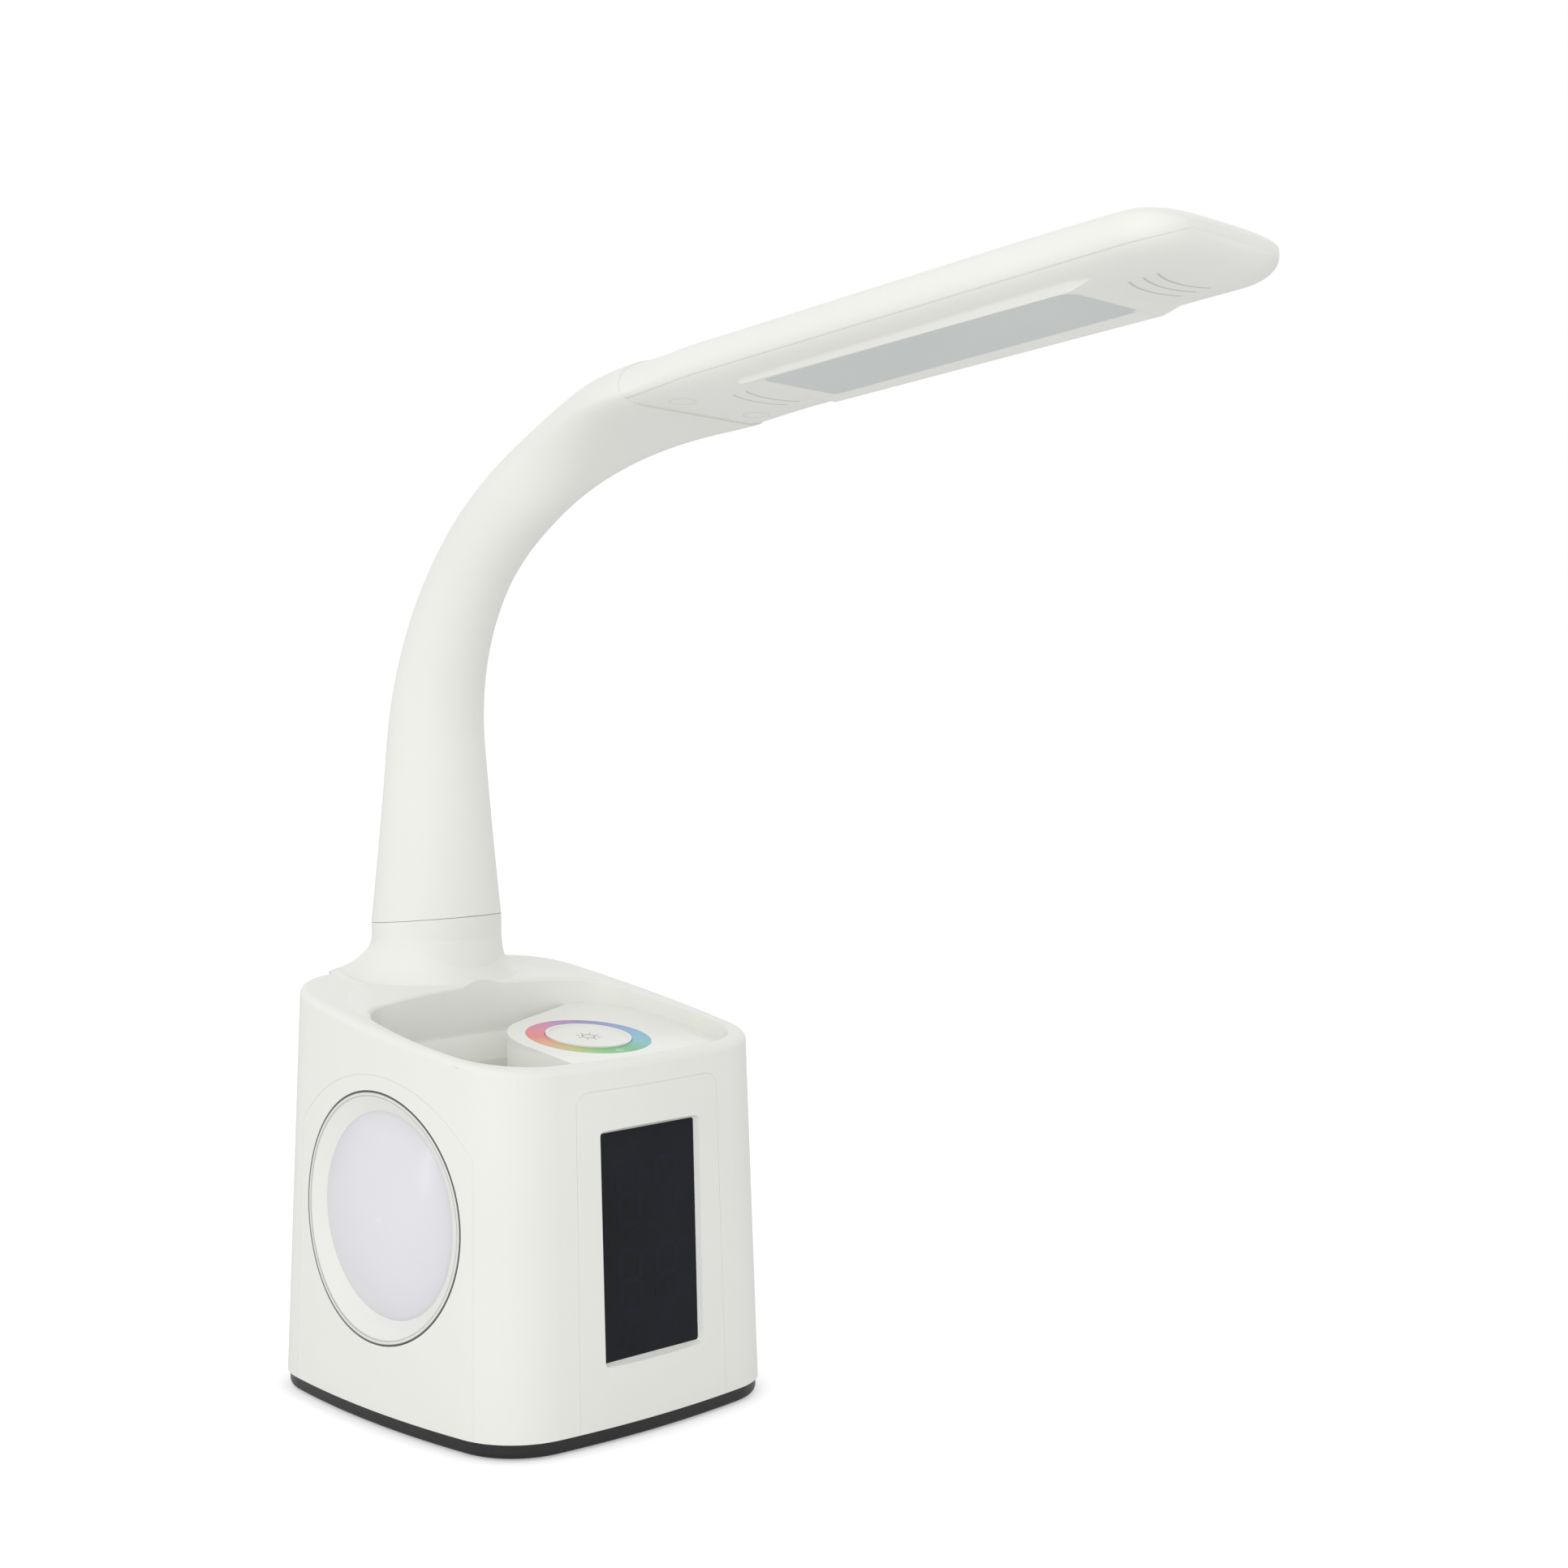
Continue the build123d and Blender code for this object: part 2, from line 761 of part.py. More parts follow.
def touch_ring():
    ring = Circle(touch_ring_radius) - Circle(touch_disc_radius + seam_gap)
    return deck_plane(touch_recess) * extrude(ring, touch_recess)


def touch_disc():
    """The touch cap, with a fine raised lip round its edge."""
    place = deck_plane(touch_recess)
    cap = place * extrude(Circle(touch_disc_radius), touch_recess)
    lip = Circle(touch_disc_radius) - Circle(touch_disc_radius - touch_lip_width)
    return cap + place * extrude(lip, touch_recess + touch_disc_lip)


def touch_board():
    return deck_plane(deck_wall + board_thickness) * extrude(Circle(touch_board_radius), board_thickness)


def lcd_window():
    return plate_on_front(display_face(display_lap), panel_thickness, display_window_thickness)


def lcd_module():
    depth = panel_thickness + display_window_thickness
    return plate_on_front(display_face(display_lap), depth, display_module_thickness)


def clock_board():
    depth = panel_thickness + display_window_thickness + display_module_thickness
    return plate_on_front(display_face(clock_board_margin), depth, board_thickness)


def tray_floor():
    """The height of the base plate's inner floor."""
    return foot_height + plate_floor


def base_plate():
    """The dark plate: a tray with a rounded band, a rim inside the shell, posts and screw holes."""
    band = extrude(plan_face(body_bottom, plate_inset), foot_height - body_bottom)
    band = fillet(band.faces().sort_by(Axis.Z)[0].edges(), plate_round)
    spigot_inset = shell_wall + seam_gap
    spigot_top = body_bottom + plate_spigot
    plate = band + extrude(plan_face(body_bottom, spigot_inset), plate_spigot)
    hollow = plan_face(tray_floor(), spigot_inset + plate_wall)
    plate -= extrude(hollow, overrun)
    core = extrude(plan_face(tray_floor(), spigot_inset + plate_wall / 2), spigot_top - tray_floor())
    for place in main_board_posts():
        plate += column(place, main_board_post_radius, tray_floor(), main_board_bottom())
    for place in corner_places(base_screw_inset):
        boss = column(place, plate_boss_radius, tray_floor(), spigot_top)
        plate += boss & core
        plate -= column(place, screw_radius + seam_gap, -overrun, overrun)
        head_room = foot_height + screw_head_height + seam_gap
        plate -= column(place, screw_head_radius + seam_gap, -overrun, head_room)
    return plate - pad_ring(seat_gap)


def pad_ring(grow=0):
    """The ring of rubber under the base plate, sunk into it."""
    outer = RectangleRounded(2 * (pad_half_width + grow), 2 * (pad_half_length + grow), pad_radius + grow)
    inner_x = pad_half_width - pad_width - grow
    inner_y = pad_half_length - pad_width - grow
    inner = RectangleRounded(2 * inner_x, 2 * inner_y, pad_radius - pad_width - grow)
    return extrude(outer - inner, foot_height + foot_sink)


def screw(place, bottom, length):
    """A pan head screw that points up from its head's underside."""
    head = column(place, screw_head_radius, bottom, bottom + screw_head_height)
    shank = column(place, screw_radius - seat_gap, bottom, bottom + screw_head_height + length)
    return head + shank


def base_screws():
    bottom = foot_height + seam_gap
    reach = base_screw_length - seam_gap
    return [screw(place, bottom, reach) for place in corner_places(base_screw_inset)]


def ballast_plate():
    middle = Pos(0, (ballast_back - ballast_front) / 2, tray_floor())
    blank = RectangleRounded(2 * ballast_half_width, ballast_front + ballast_back, ballast_radius)
    return middle * extrude(blank, ballast_thickness)


def main_board_bottom():
    return inlet_z - inlet_body_height / 2 - board_thickness


def main_board_posts():
    across = (main_board_left + main_board_post_inset, main_board_right - main_board_post_inset)
    back = main_board_back - inlet_body_length - main_board_post_inset
    along = (main_board_front + main_board_post_inset, back)
    return [(x, y) for x in across for y in along]


def main_board():
    across = (main_board_left + main_board_right) / 2
    along = (main_board_front + main_board_back) / 2
    blank = Rectangle(main_board_width, main_board_length)
    return Pos(across, along, main_board_bottom()) * extrude(blank, board_thickness)


def back_wall_y(height):
    """The outside of the back wall in the middle, at a height."""
    return base_back_depth - (height - body_bottom) * tan(radians(back_lean))


def inlet_face_y():
    """The inside of the back wall beside the inlet, where the bowed wall comes closest."""
    bow = back_bow * (inlet_x + inlet_body_width) ** 2 / (base_half_width - side_bow) ** 2
    return back_wall_y(inlet_z + inlet_body_height / 2) - bow - shell_wall - seat_gap


def inlet_plane(depth=0):
    """The inlet's plane, facing the back."""
    return Plane(origin=(inlet_x, inlet_face_y() - depth, inlet_z), x_dir=(-1, 0, 0), z_dir=(0, 1, 0))


def inlet_cut():
    """The hole in the back wall in front of the inlet."""
    return inlet_plane() * extrude(Circle(inlet_radius), overrun)


def power_inlet():
    blank = Rectangle(inlet_body_width, inlet_body_height)
    body = inlet_plane(inlet_body_length) * extrude(blank, inlet_body_length)
    body -= inlet_plane(inlet_bore_depth) * extrude(Circle(inlet_bore_radius), overrun)
    return body + inlet_plane(inlet_bore_depth) * extrude(Circle(inlet_pin_radius), inlet_bore_depth)


def button_places():
    first = -button_pitch * (button_count - 1) / 2
    return [first + button_pitch * index for index in range(button_count)]


def button_plane(across, depth=0):
    """A button's plane at the inside of the back wall, pushed in by a depth."""
    widest = button_pitch * (button_count - 1) / 2 + button_radius + button_flange
    bow = back_bow * widest ** 2 / (base_half_width - side_bow) ** 2
    inner = back_wall_y(button_z + button_radius + button_flange) - bow - shell_wall
    return Plane(origin=(across, inner - depth, button_z), x_dir=(-1, 0, 0), z_dir=(0, 1, 0))


def set_button(across):
    """A button: a cap through the wall, a flange behind it and a short stem towards its contact dome."""
    reach = back_wall_y(button_z) - button_plane(across).origin.Y + button_proud
    cap = button_plane(across, seam_gap) * extrude(Circle(button_radius), reach + seam_gap)
    flange_depth = seam_gap + button_flange_thickness
    flange = button_plane(across, flange_depth) * extrude(
        Circle(button_radius + button_flange), button_flange_thickness
    )
    stem_end = button_board_gap - dome_height - button_travel - seam_gap
    stem = button_plane(across, stem_end) * extrude(Circle(button_stem_radius), stem_end - seam_gap)
    return cap + flange + stem


def button_board():
    width = button_pitch * (button_count - 1) + 2 * button_board_margin
    return button_plane(0, button_board_gap + board_thickness) * extrude(
        Rectangle(width, 2 * button_board_half_height), board_thickness
    )


def contact_domes():
    return [button_plane(x, button_board_gap) * dome_button() for x in button_places()]


def dome_button():
    """A low contact dome on the button board."""
    return dome_cap(dome_radius, dome_height)


def neck_point(length):
    """The neck's middle line at a length from the collar's seam: place and lean from upright."""
    straight = neck_straight_top - seam_height
    lower = lower_bend_radius * radians(lower_bend)
    upper = upper_bend_radius * radians(upper_bend)
    if length <= straight:
        return Vector(0, neck_y, seam_height + length), 0.0
    angle = min(length - straight, lower) / lower_bend_radius
    y = neck_y - lower_bend_radius * (1 - cos(angle))
    z = neck_straight_top + lower_bend_radius * sin(angle)
    if length <= straight + lower:
        return Vector(0, y, z), angle
    turn = min(length - straight - lower, upper) / upper_bend_radius
    y -= upper_bend_radius * (cos(angle) - cos(angle + turn))
    z += upper_bend_radius * (sin(angle + turn) - sin(angle))
    lean = angle + turn
    rest = max(length - straight - lower - upper, 0)
    return Vector(0, y - rest * sin(lean), z + rest * cos(lean)), lean


def neck_plane(length, twist=0):
    """The plane square to the neck's middle line, turned by a twist; Y looks out over the bend's back."""
    place, lean = neck_point(length)
    turn = radians(twist)
    across = (cos(turn), -sin(turn) * cos(lean), -sin(turn) * sin(lean))
    return Plane(origin=place, x_dir=across, z_dir=(0, -sin(lean), cos(lean)))


def bend_end():
    """The length at which the upper bend ends and the head's axis starts."""
    straight = neck_straight_top - seam_height
    return straight + lower_bend_radius * radians(lower_bend) + upper_bend_radius * radians(upper_bend)


def sleeve_section(length):
    """The sleeve's cross-section: round, wider at its foot, and flattening into the head's width."""
    left = max(1 - length / sleeve_flare_length, 0)
    radius = sleeve_radius + sleeve_foot_flare * left ** sleeve_flare_power
    share = (length - sleeve_widen_start) / (bend_end() + head_start - sleeve_widen_start)
    share = min(max(share, 0), 1)
    blend = share * share * (3 - 2 * share)
    half = radius + (head_half_width + sleeve_proud - radius) * blend
    crest = radius + (head_crest + sleeve_proud - radius) * blend
    belly = radius + (head_belly + sleeve_proud - radius) * blend
    flat_share = sleeve_flat_start_share + (head_flat_share - sleeve_flat_start_share) * blend
    face = arched_section(half, crest, belly, head_seam * blend, flat_share)
    return neck_plane(length, head_twist * blend) * face


def neck_path(start, end):
    """The neck's middle line between two lengths, as straight and round stretches."""
    straight = neck_straight_top - seam_height
    marks = [straight, straight + lower_bend_radius * radians(lower_bend), bend_end()]
    stops = [start] + [mark for mark in marks if start < mark < end] + [end]
    edges = []
    for first, last in zip(stops[:-1], stops[1:]):
        a = neck_point(first)[0]
        b = neck_point(last)[0]
        middle = neck_point((first + last) / 2)[0]
        if first >= marks[2] or last <= marks[0]:
            edges.append(Line(a, b))
        else:
            edges.append(ThreePointArc(a, middle, b))
    return Wire(edges)


def neck_tube(start, end, outer, inner=0):
    """A round tube or rod along the neck's middle line."""
    ring = Circle(outer) - Circle(inner) if inner else Circle(outer)
    return sweep(neck_plane(start) * ring, path=neck_path(start, end))


def joint_places():
    """The lengths at which the neck is cut into pieces that bend against each other."""
    return [joint_first + joint_step * index for index in range(joint_count)]


def neck_sleeves():
    """The sleeve's pieces, from the collar's seam to the head."""
    end = bend_end() + head_start
    stops = [-collar_radius * tan(radians(seam_tilt))] + joint_places() + [end + scarf_reach]
    pieces = []
    for first, last in zip(stops[:-1], stops[1:]):
        start = first + joint_gap / 2
        stop = last - joint_gap / 2
        body = loft([sleeve_section(start), sleeve_section((start + stop) / 2), sleeve_section(stop)])
        pieces.append(body - neck_tube(first, last, gooseneck_radius + seat_gap))
    pieces[0] = pieces[0] & above_seam()
    pieces[-1] = pieces[-1] - past_scarf()
    return pieces


def goosenecks():
    """The gooseneck's pieces, from the nut in the base to the clamp in the head."""
    end = bend_end() + head_start + scarf_reach + clamp_length / 2
    stops = [gooseneck_foot - seam_height] + joint_places() + [end]
    gap = joint_gap / 2
    stretches = zip(stops[:-1], stops[1:])
    return [neck_tube(a + gap, b - gap, gooseneck_radius, gooseneck_bore) for a, b in stretches]


def neck_nut():
    nut = RegularPolygon(neck_nut_radius, neck_nut_sides) - Circle(gooseneck_radius + seat_gap)
    return Pos(0, neck_y, neck_boss_bottom - neck_nut_height) * extrude(nut, neck_nut_height)


def head_plane():
    """The head's own frame: X across, Y along the head towards its tip, Z up, turned by the head's twist."""
    place, lean = neck_point(bend_end())
    turn = radians(head_twist)
    across = (-cos(turn), sin(turn) * cos(lean), sin(turn) * sin(lean))
    upward = (sin(turn), cos(turn) * cos(lean), cos(turn) * sin(lean))
    return Plane(origin=place, x_dir=across, z_dir=upward)


def scarf_block(shift=0):
    """The slanting cut between sleeve and head: everything on the tip's side of it."""
    size = head_length + overrun
    slant = Plane(
        origin=(0, head_start + shift, 0), x_dir=(1, 0, 0),
        z_dir=(0, cos(radians(head_scarf)), sin(radians(head_scarf))),
    )
    return slant * extrude(Rectangle(size, size), size + size)


def past_scarf():
    """The tip's side of the slanting cut, in the part's frame."""
    return head_plane() * scarf_block()


def arched_section(half, crest, belly, seam, flat_share):
    """A low arch over a flat belly with round sides, about a seam's height."""
    flat = half * flat_share
    return make_face(
        Curve() + [
            ellipse_arc((0, seam), half, crest, 0, 180),
            ellipse_arc((-flat, seam), half - flat, belly, 180, 90),
            Line((-flat, seam - belly), (flat, seam - belly)),
            ellipse_arc((flat, seam), half - flat, belly, 270, 90),
        ]
    )


def head_section(half, crest, belly):
    """The head's cross-section."""
    return arched_section(half, crest, belly, head_seam, head_flat_share)


def head_blank(inset=0):
    """The head's outer form: a bar and a nose whose sections shrink along an ellipse to the tip."""
    half = head_half_width - inset
    crest = head_crest - inset
    belly = head_belly - inset
    straight = head_end - head_nose
    bar = Plane.XZ * extrude(head_section(half, crest, belly), -straight)
    sections = []
    for step in range(head_nose_steps + 1):
        turn = radians(head_nose_turn * step / head_nose_steps)
        width = head_tip_half_width + (half - head_tip_half_width) * cos(turn)
        along = straight + (head_nose - inset) * sin(turn)
        shrink = cos(turn) ** head_nose_power
        face = head_section(width, crest * shrink, belly * shrink)
        sections.append(Plane.XZ.offset(-along) * face)
    return bar + loft(sections)


def head_floor():
    """The height of the lower cover's outside."""
    return head_seam - head_belly


def below_seam(lift=0):
    """Everything under the seam between the head's covers, or under a plane lifted from it."""
    size = head_length + overrun
    return Pos(0, 0, head_seam + lift) * extrude(Rectangle(2 * size, 4 * size), -size)


def plug_places():
    return [(-plug_offset, plug_place), (plug_offset, plug_place)]


def head_top_cover():
    cover = (head_blank() - head_blank(head_wall) - below_seam(cover_gap)) & scarf_block(seam_gap)
    inside = head_blank(head_wall / 2)
    for place in plug_places():
        boss = column(place, boss_radius, head_seam + cover_gap, head_seam + head_crest) & inside
        cover += boss
        cover -= column(place, screw_radius, head_seam - overrun, head_seam + screw_length - head_wall)
    return head_plane() * (cover - head_rod())


def head_rod():
    """The room for the gooseneck's end, in the head's frame."""
    reach = head_start + scarf_reach + clamp_length
    return Plane.XZ * extrude(Circle(gooseneck_radius + seat_gap), -reach)


def bezel():
    """The raised frame round the window, with ramps at its ends and sides."""
    foot = RectangleRounded(2 * bezel_half_width, bezel_end - bezel_start, bezel_radius)
    crown_half = bezel_half_width - bezel_side_ramp
    crown = RectangleRounded(2 * crown_half, bezel_crown_end - bezel_crown_start, bezel_radius)
    foot_place = Pos(0, (bezel_start + bezel_end) / 2, head_floor() + head_wall / 2)
    crown_place = Pos(0, (bezel_crown_start + bezel_crown_end) / 2, head_floor() - bezel_rise)
    return loft([foot_place * foot, crown_place * crown], ruled=True)


def window_face(grow=0):
    middle = (window_start + window_end) / 2
    length = window_end - window_start + 2 * grow
    return Pos(0, middle) * RectangleRounded(2 * (window_half_width + grow), length, window_radius + grow)


def slot_cut(place):
    """A curved vent slot across the head's underside."""
    middle = ThreePointArc(
        (-slot_half_length, place - slot_bow), (0, place), (slot_half_length, place - slot_bow)
    )
    return Pos(0, 0, head_floor() - head_wall) * extrude(trace(middle, slot_width), 2 * head_wall + seat_gap)


def slot_places():
    neck = [neck_slot_place + slot_pitch * index for index in range(neck_slot_count)]
    tip = [tip_slot_place + slot_pitch * index for index in range(tip_slot_count)]
    return neck + tip


def diffuser_bottom():
    return head_floor() - bezel_rise + diffuser_recess


def light_board_bottom():
    return head_floor() + head_wall + light_board_lift


def light_board_corners():
    half = window_half_width - light_board_margin
    near = window_start - diffuser_lap - 2 * post_radius
    far = window_end + diffuser_lap + 2 * post_radius
    return [(x, y) for x in (-half, half) for y in (near, far)]


def head_bottom_cover():
    cover = (head_blank() - head_blank(head_wall)) & below_seam()
    cover = (cover + bezel()) & scarf_block(seam_gap)
    cover -= Pos(0, 0, head_floor() - overrun) * extrude(window_face(), 2 * overrun)
    cover -= Pos(0, 0, diffuser_bottom()) * extrude(window_face(diffuser_lap + seat_gap), overrun)
    for place in slot_places():
        cover -= slot_cut(place)
    floor = head_floor() + head_wall
    for place in light_board_corners():
        cover += column(place, post_radius, head_floor() + head_wall / 2, light_board_bottom())
    for place in plug_places():
        cover += column(place, boss_radius, head_floor() + head_wall / 2, head_seam - seam_gap)
        cover -= column(place, plug_radius, head_floor() - overrun, head_floor() + plug_thickness)
        cover -= column(place, screw_radius + seat_gap, head_floor(), floor + overrun)
    return head_plane() * (cover - head_rod())


def head_diffuser():
    pane = extrude(window_face(diffuser_lap), diffuser_thickness)
    return head_plane() * Pos(0, 0, diffuser_bottom()) * pane


def light_board():
    near = light_board_corners()[0][1] - post_radius
    far = light_board_corners()[1][1] + post_radius
    blank = Rectangle(2 * window_half_width, far - near)
    return head_plane() * Pos(0, (near + far) / 2, light_board_bottom()) * extrude(blank, board_thickness)


def light_chips():
    """Two rows of light chips under the light board."""
    length = window_end - window_start
    half = window_half_width - 2 * light_board_margin
    chips = []
    for row in range(light_row_count):
        across = half * ((2 * row + 1) / light_row_count - 1)
        for index in range(light_column_count):
            along = window_start + length * (index + 1 / 2) / light_column_count
            place = Pos(across, along, light_board_bottom() - light_height)
            chips.append(head_plane() * place * extrude(Rectangle(light_size, light_size), light_height))
    return chips


def screw_plugs():
    bottom = head_floor()
    top = bottom + plug_thickness - seat_gap
    return [head_plane() * column(place, plug_radius - seat_gap, bottom, top) for place in plug_places()]


def head_screws():
    bottom = head_floor() + plug_thickness
    top = head_seam + screw_length - head_wall - seat_gap
    return [head_plane() * column(place, screw_radius - seat_gap, bottom, top) for place in plug_places()]


def neck_clamp():
    """The block in the head that grips the gooseneck's end and sits on the lower cover."""
    start = head_start + scarf_reach
    floor = head_floor() + head_wall
    blank = Rectangle(2 * clamp_half_width, clamp_length, align=(Align.CENTER, Align.MIN))
    block = Pos(0, start, floor) * extrude(blank, 2 * gooseneck_radius + head_wall)
    block &= head_blank(head_wall + seat_gap)
    block -= Plane.XZ * extrude(Circle(gooseneck_radius + seat_gap), -(start + overrun))
    return head_plane() * block


def all_parts():
    """Every piece by name."""
    pieces = {
        "base_shell": base_shell(),
        "front_panel": front_panel(),
        "side_panel": side_panel(),
        "lcd_window": lcd_window(),
        "lcd_module": lcd_module(),
        "clock_board": clock_board(),
        "night_light_ring": night_light_ring(),
        "night_light_dish": night_light_dish(),
        "night_light_dome": night_light_dome(),
        "night_light_board": night_light_board(),
        "night_light_chips": night_light_chips(),
        "touch_ring": touch_ring(),
        "touch_disc": touch_disc(),
        "touch_board": touch_board(),
        "base_plate": base_plate(),
        "rubber_pad": pad_ring(),
        "base_screws": base_screws(),
        "ballast_plate": ballast_plate(),
        "main_board": main_board(),
        "power_inlet": power_inlet(),
        "button_board": button_board(),
        "contact_domes": contact_domes(),
        "neck_nut": neck_nut(),
        "head_top_cover": head_top_cover(),
        "head_bottom_cover": head_bottom_cover(),
        "head_diffuser": head_diffuser(),
        "light_board": light_board(),
        "light_chips": light_chips(),
        "screw_plugs": screw_plugs(),
        "head_screws": head_screws(),
        "neck_clamp": neck_clamp(),
    }
    for index, across in enumerate(button_places(), start=1):
        pieces[f"set_button_{index}"] = set_button(across)
    for index, piece in enumerate(neck_sleeves()):
        pieces[f"neck_sleeve_{index}"] = piece
    for index, piece in enumerate(goosenecks()):
        pieces[f"gooseneck_{index}"] = piece
    return pieces


os.makedirs("parts", exist_ok=True)
for name, piece in all_parts().items():
    shape = Compound(children=piece) if isinstance(piece, list) else piece
    export_step(shape, f"parts/{name}.step")
    print(name, round(shape.volume, 1))
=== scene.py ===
# %% [markdown]
# Desk lamp with a pen holder
#
# Most rigid pieces come from the CAD model and keep their shapes. This lesson adds what the CAD leaves
# out: the soft sleeve as a smooth skin, the head's covers in a finer form, the cone of the
# night light, ledges behind the seams, a skirt round the collar, the marks on the touch control, the
# faint digits behind the display window, a material for every piece, the light and the camera.

# %% Load the CAD pieces
from math import cos, pi, radians, sin, tan

import bpy
import numpy as np
from mathutils import Matrix, Vector
from mathutils.bvhtree import BVHTree


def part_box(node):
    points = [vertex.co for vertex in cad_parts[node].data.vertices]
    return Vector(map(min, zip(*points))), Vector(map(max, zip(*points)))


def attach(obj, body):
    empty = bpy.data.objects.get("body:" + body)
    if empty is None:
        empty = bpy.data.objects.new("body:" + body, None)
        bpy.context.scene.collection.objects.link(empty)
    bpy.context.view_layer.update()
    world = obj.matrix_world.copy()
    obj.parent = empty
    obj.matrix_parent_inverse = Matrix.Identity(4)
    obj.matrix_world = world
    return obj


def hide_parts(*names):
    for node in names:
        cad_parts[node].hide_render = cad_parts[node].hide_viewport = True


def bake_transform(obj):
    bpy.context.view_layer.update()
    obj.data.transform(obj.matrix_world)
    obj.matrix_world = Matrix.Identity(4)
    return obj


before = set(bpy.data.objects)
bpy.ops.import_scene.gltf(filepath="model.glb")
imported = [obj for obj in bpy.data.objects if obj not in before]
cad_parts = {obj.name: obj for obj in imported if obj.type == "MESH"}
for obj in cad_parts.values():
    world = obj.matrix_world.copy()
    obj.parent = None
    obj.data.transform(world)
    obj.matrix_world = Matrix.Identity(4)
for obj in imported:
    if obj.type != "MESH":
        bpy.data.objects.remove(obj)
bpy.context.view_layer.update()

# %% [markdown]
# Sizes
#
# All lengths are in metres, in the CAD model's frame: the origin is the middle of the base on the
# table, +Z is up and the display looks along -Y. The neck's line is the same as in the CAD model:
# a straight foot, a tight bend and a wider bend, all in the plane x = 0.

# %% Sizes of the neck and its sleeve
NECK_Y = 0.0465
SEAM_HEIGHT = 0.153003
SEAM_TILT = radians(6.0)
STRAIGHT = 0.0579
LOWER_RADIUS = 0.0973
LOWER_BEND = radians(52.0)
UPPER_RADIUS = 0.165
UPPER_BEND = radians(29.8)
SLEEVE_RADIUS = 0.013
FOOT_FLARE = 0.009
FLARE_LENGTH = 0.130
FLARE_POWER = 1.5
WIDEN_START = 0.172
HEAD_START = 0.012
END_HALF_WIDTH = 0.0295
END_CREST = 0.0148
END_BELLY = 0.0034
END_SEAM = -0.0028
END_TWIST = radians(4.3)
FLAT_SHARES = (0.02, 0.667)
SCARF_TILT = radians(22.0)
FIRST_JOINT = 0.042
JOINT_STEP = 0.030
JOINT_COUNT = 6
SEAM_LINE = 0.00014
SCARF_LINE = 0.00005

BEND_END = STRAIGHT + LOWER_RADIUS * LOWER_BEND + UPPER_RADIUS * UPPER_BEND
print("neck length to the head's axis, mm:", round(BEND_END * 1000, 1))

# %% [markdown]
# Materials
#
# Each material is a small graph of shader nodes. Patterns read object coordinates, which here are the
# CAD frame's own metres because every object sits at the origin. A moulded plastic isn't one flat
# colour: a slow noise shifts its tone a little, and a fine noise roughens it. Painted pictures could do
# the same, but noise needs no unwrapping and stays sharp from near by.

# %% Helpers for materials
GRAIN_DEPTH = 0.00003
BUMP_STRENGTH = 0.35


def new_material(name):
    """Gives a material, its node tree and its surface shader."""
    material = bpy.data.materials.new(name)
    material.use_nodes = True
    tree = material.node_tree
    return material, tree, tree.nodes["Principled BSDF"]


def add_node(tree, kind, **settings):
    """Adds a shader node and sets its properties."""
    node = tree.nodes.new(kind)
    for key, value in settings.items():
        setattr(node, key, value)
    return node


def place_node(tree):
    """The coordinates of a point in the CAD frame."""
    return add_node(tree, "ShaderNodeTexCoord").outputs["Object"]


def noise(tree, scale, detail=2.0):
    """A noise with patches about 1 / scale metres wide."""
    node = add_node(tree, "ShaderNodeTexNoise")
    node.inputs["Scale"].default_value = scale
    node.inputs["Detail"].default_value = detail
    tree.links.new(place_node(tree), node.inputs["Vector"])
    return node.outputs["Fac"]


def ramp(tree, factor, stops):
    """A colour ramp through the stops, each a place from 0 to 1 and a colour."""
    node = add_node(tree, "ShaderNodeValToRGB")
    elements = node.color_ramp.elements
    while len(elements) < len(stops):
        elements.new(0.5)
    for element, (place, colour) in zip(elements, stops):
        element.position = place
        element.color = (*colour, 1.0)
    tree.links.new(factor, node.inputs["Fac"])
    return node.outputs["Color"]


def bump(tree, shader, height, distance):
    """Turns a height into a small change of the surface's slope."""
    node = add_node(tree, "ShaderNodeBump")
    node.inputs["Strength"].default_value = BUMP_STRENGTH
    node.inputs["Distance"].default_value = distance
    tree.links.new(height, node.inputs["Height"])
    tree.links.new(node.outputs["Normal"], shader.inputs["Normal"])


def moulded(name, colour, shade, roughness, grain=1800.0):
    """A moulded plastic or rubber: two close tones in slow patches and a fine grain."""
    material, tree, shader = new_material(name)
    darker = [part * shade for part in colour]
    tone = ramp(tree, noise(tree, 18.0), [(0.3, darker), (0.7, colour)])
    tree.links.new(tone, shader.inputs["Base Color"])
    shader.inputs["Roughness"].default_value = roughness
    shader.inputs["Specular IOR Level"].default_value = 0.4
    bump(tree, shader, noise(tree, grain), GRAIN_DEPTH)
    return material, tree, shader


print("grain depth, mm:", GRAIN_DEPTH * 1000)

# %% Plastics, rubber and metal
WHITE = (0.895, 0.90, 0.855)
# Painted light: a paler tone inside the pocket's box stands in for light that these lamps don't bring in
# there.
POCKET_PAINTED_LIGHT = (0.975, 0.98, 0.935)
PAINTED_LIGHT_MIDDLE = (0.0005, -0.016, 0.0787)
PAINTED_LIGHT_HALF = (0.0495, 0.040, 0.0387)
PAINTED_LIGHT_EDGE_SHARE = 0.95


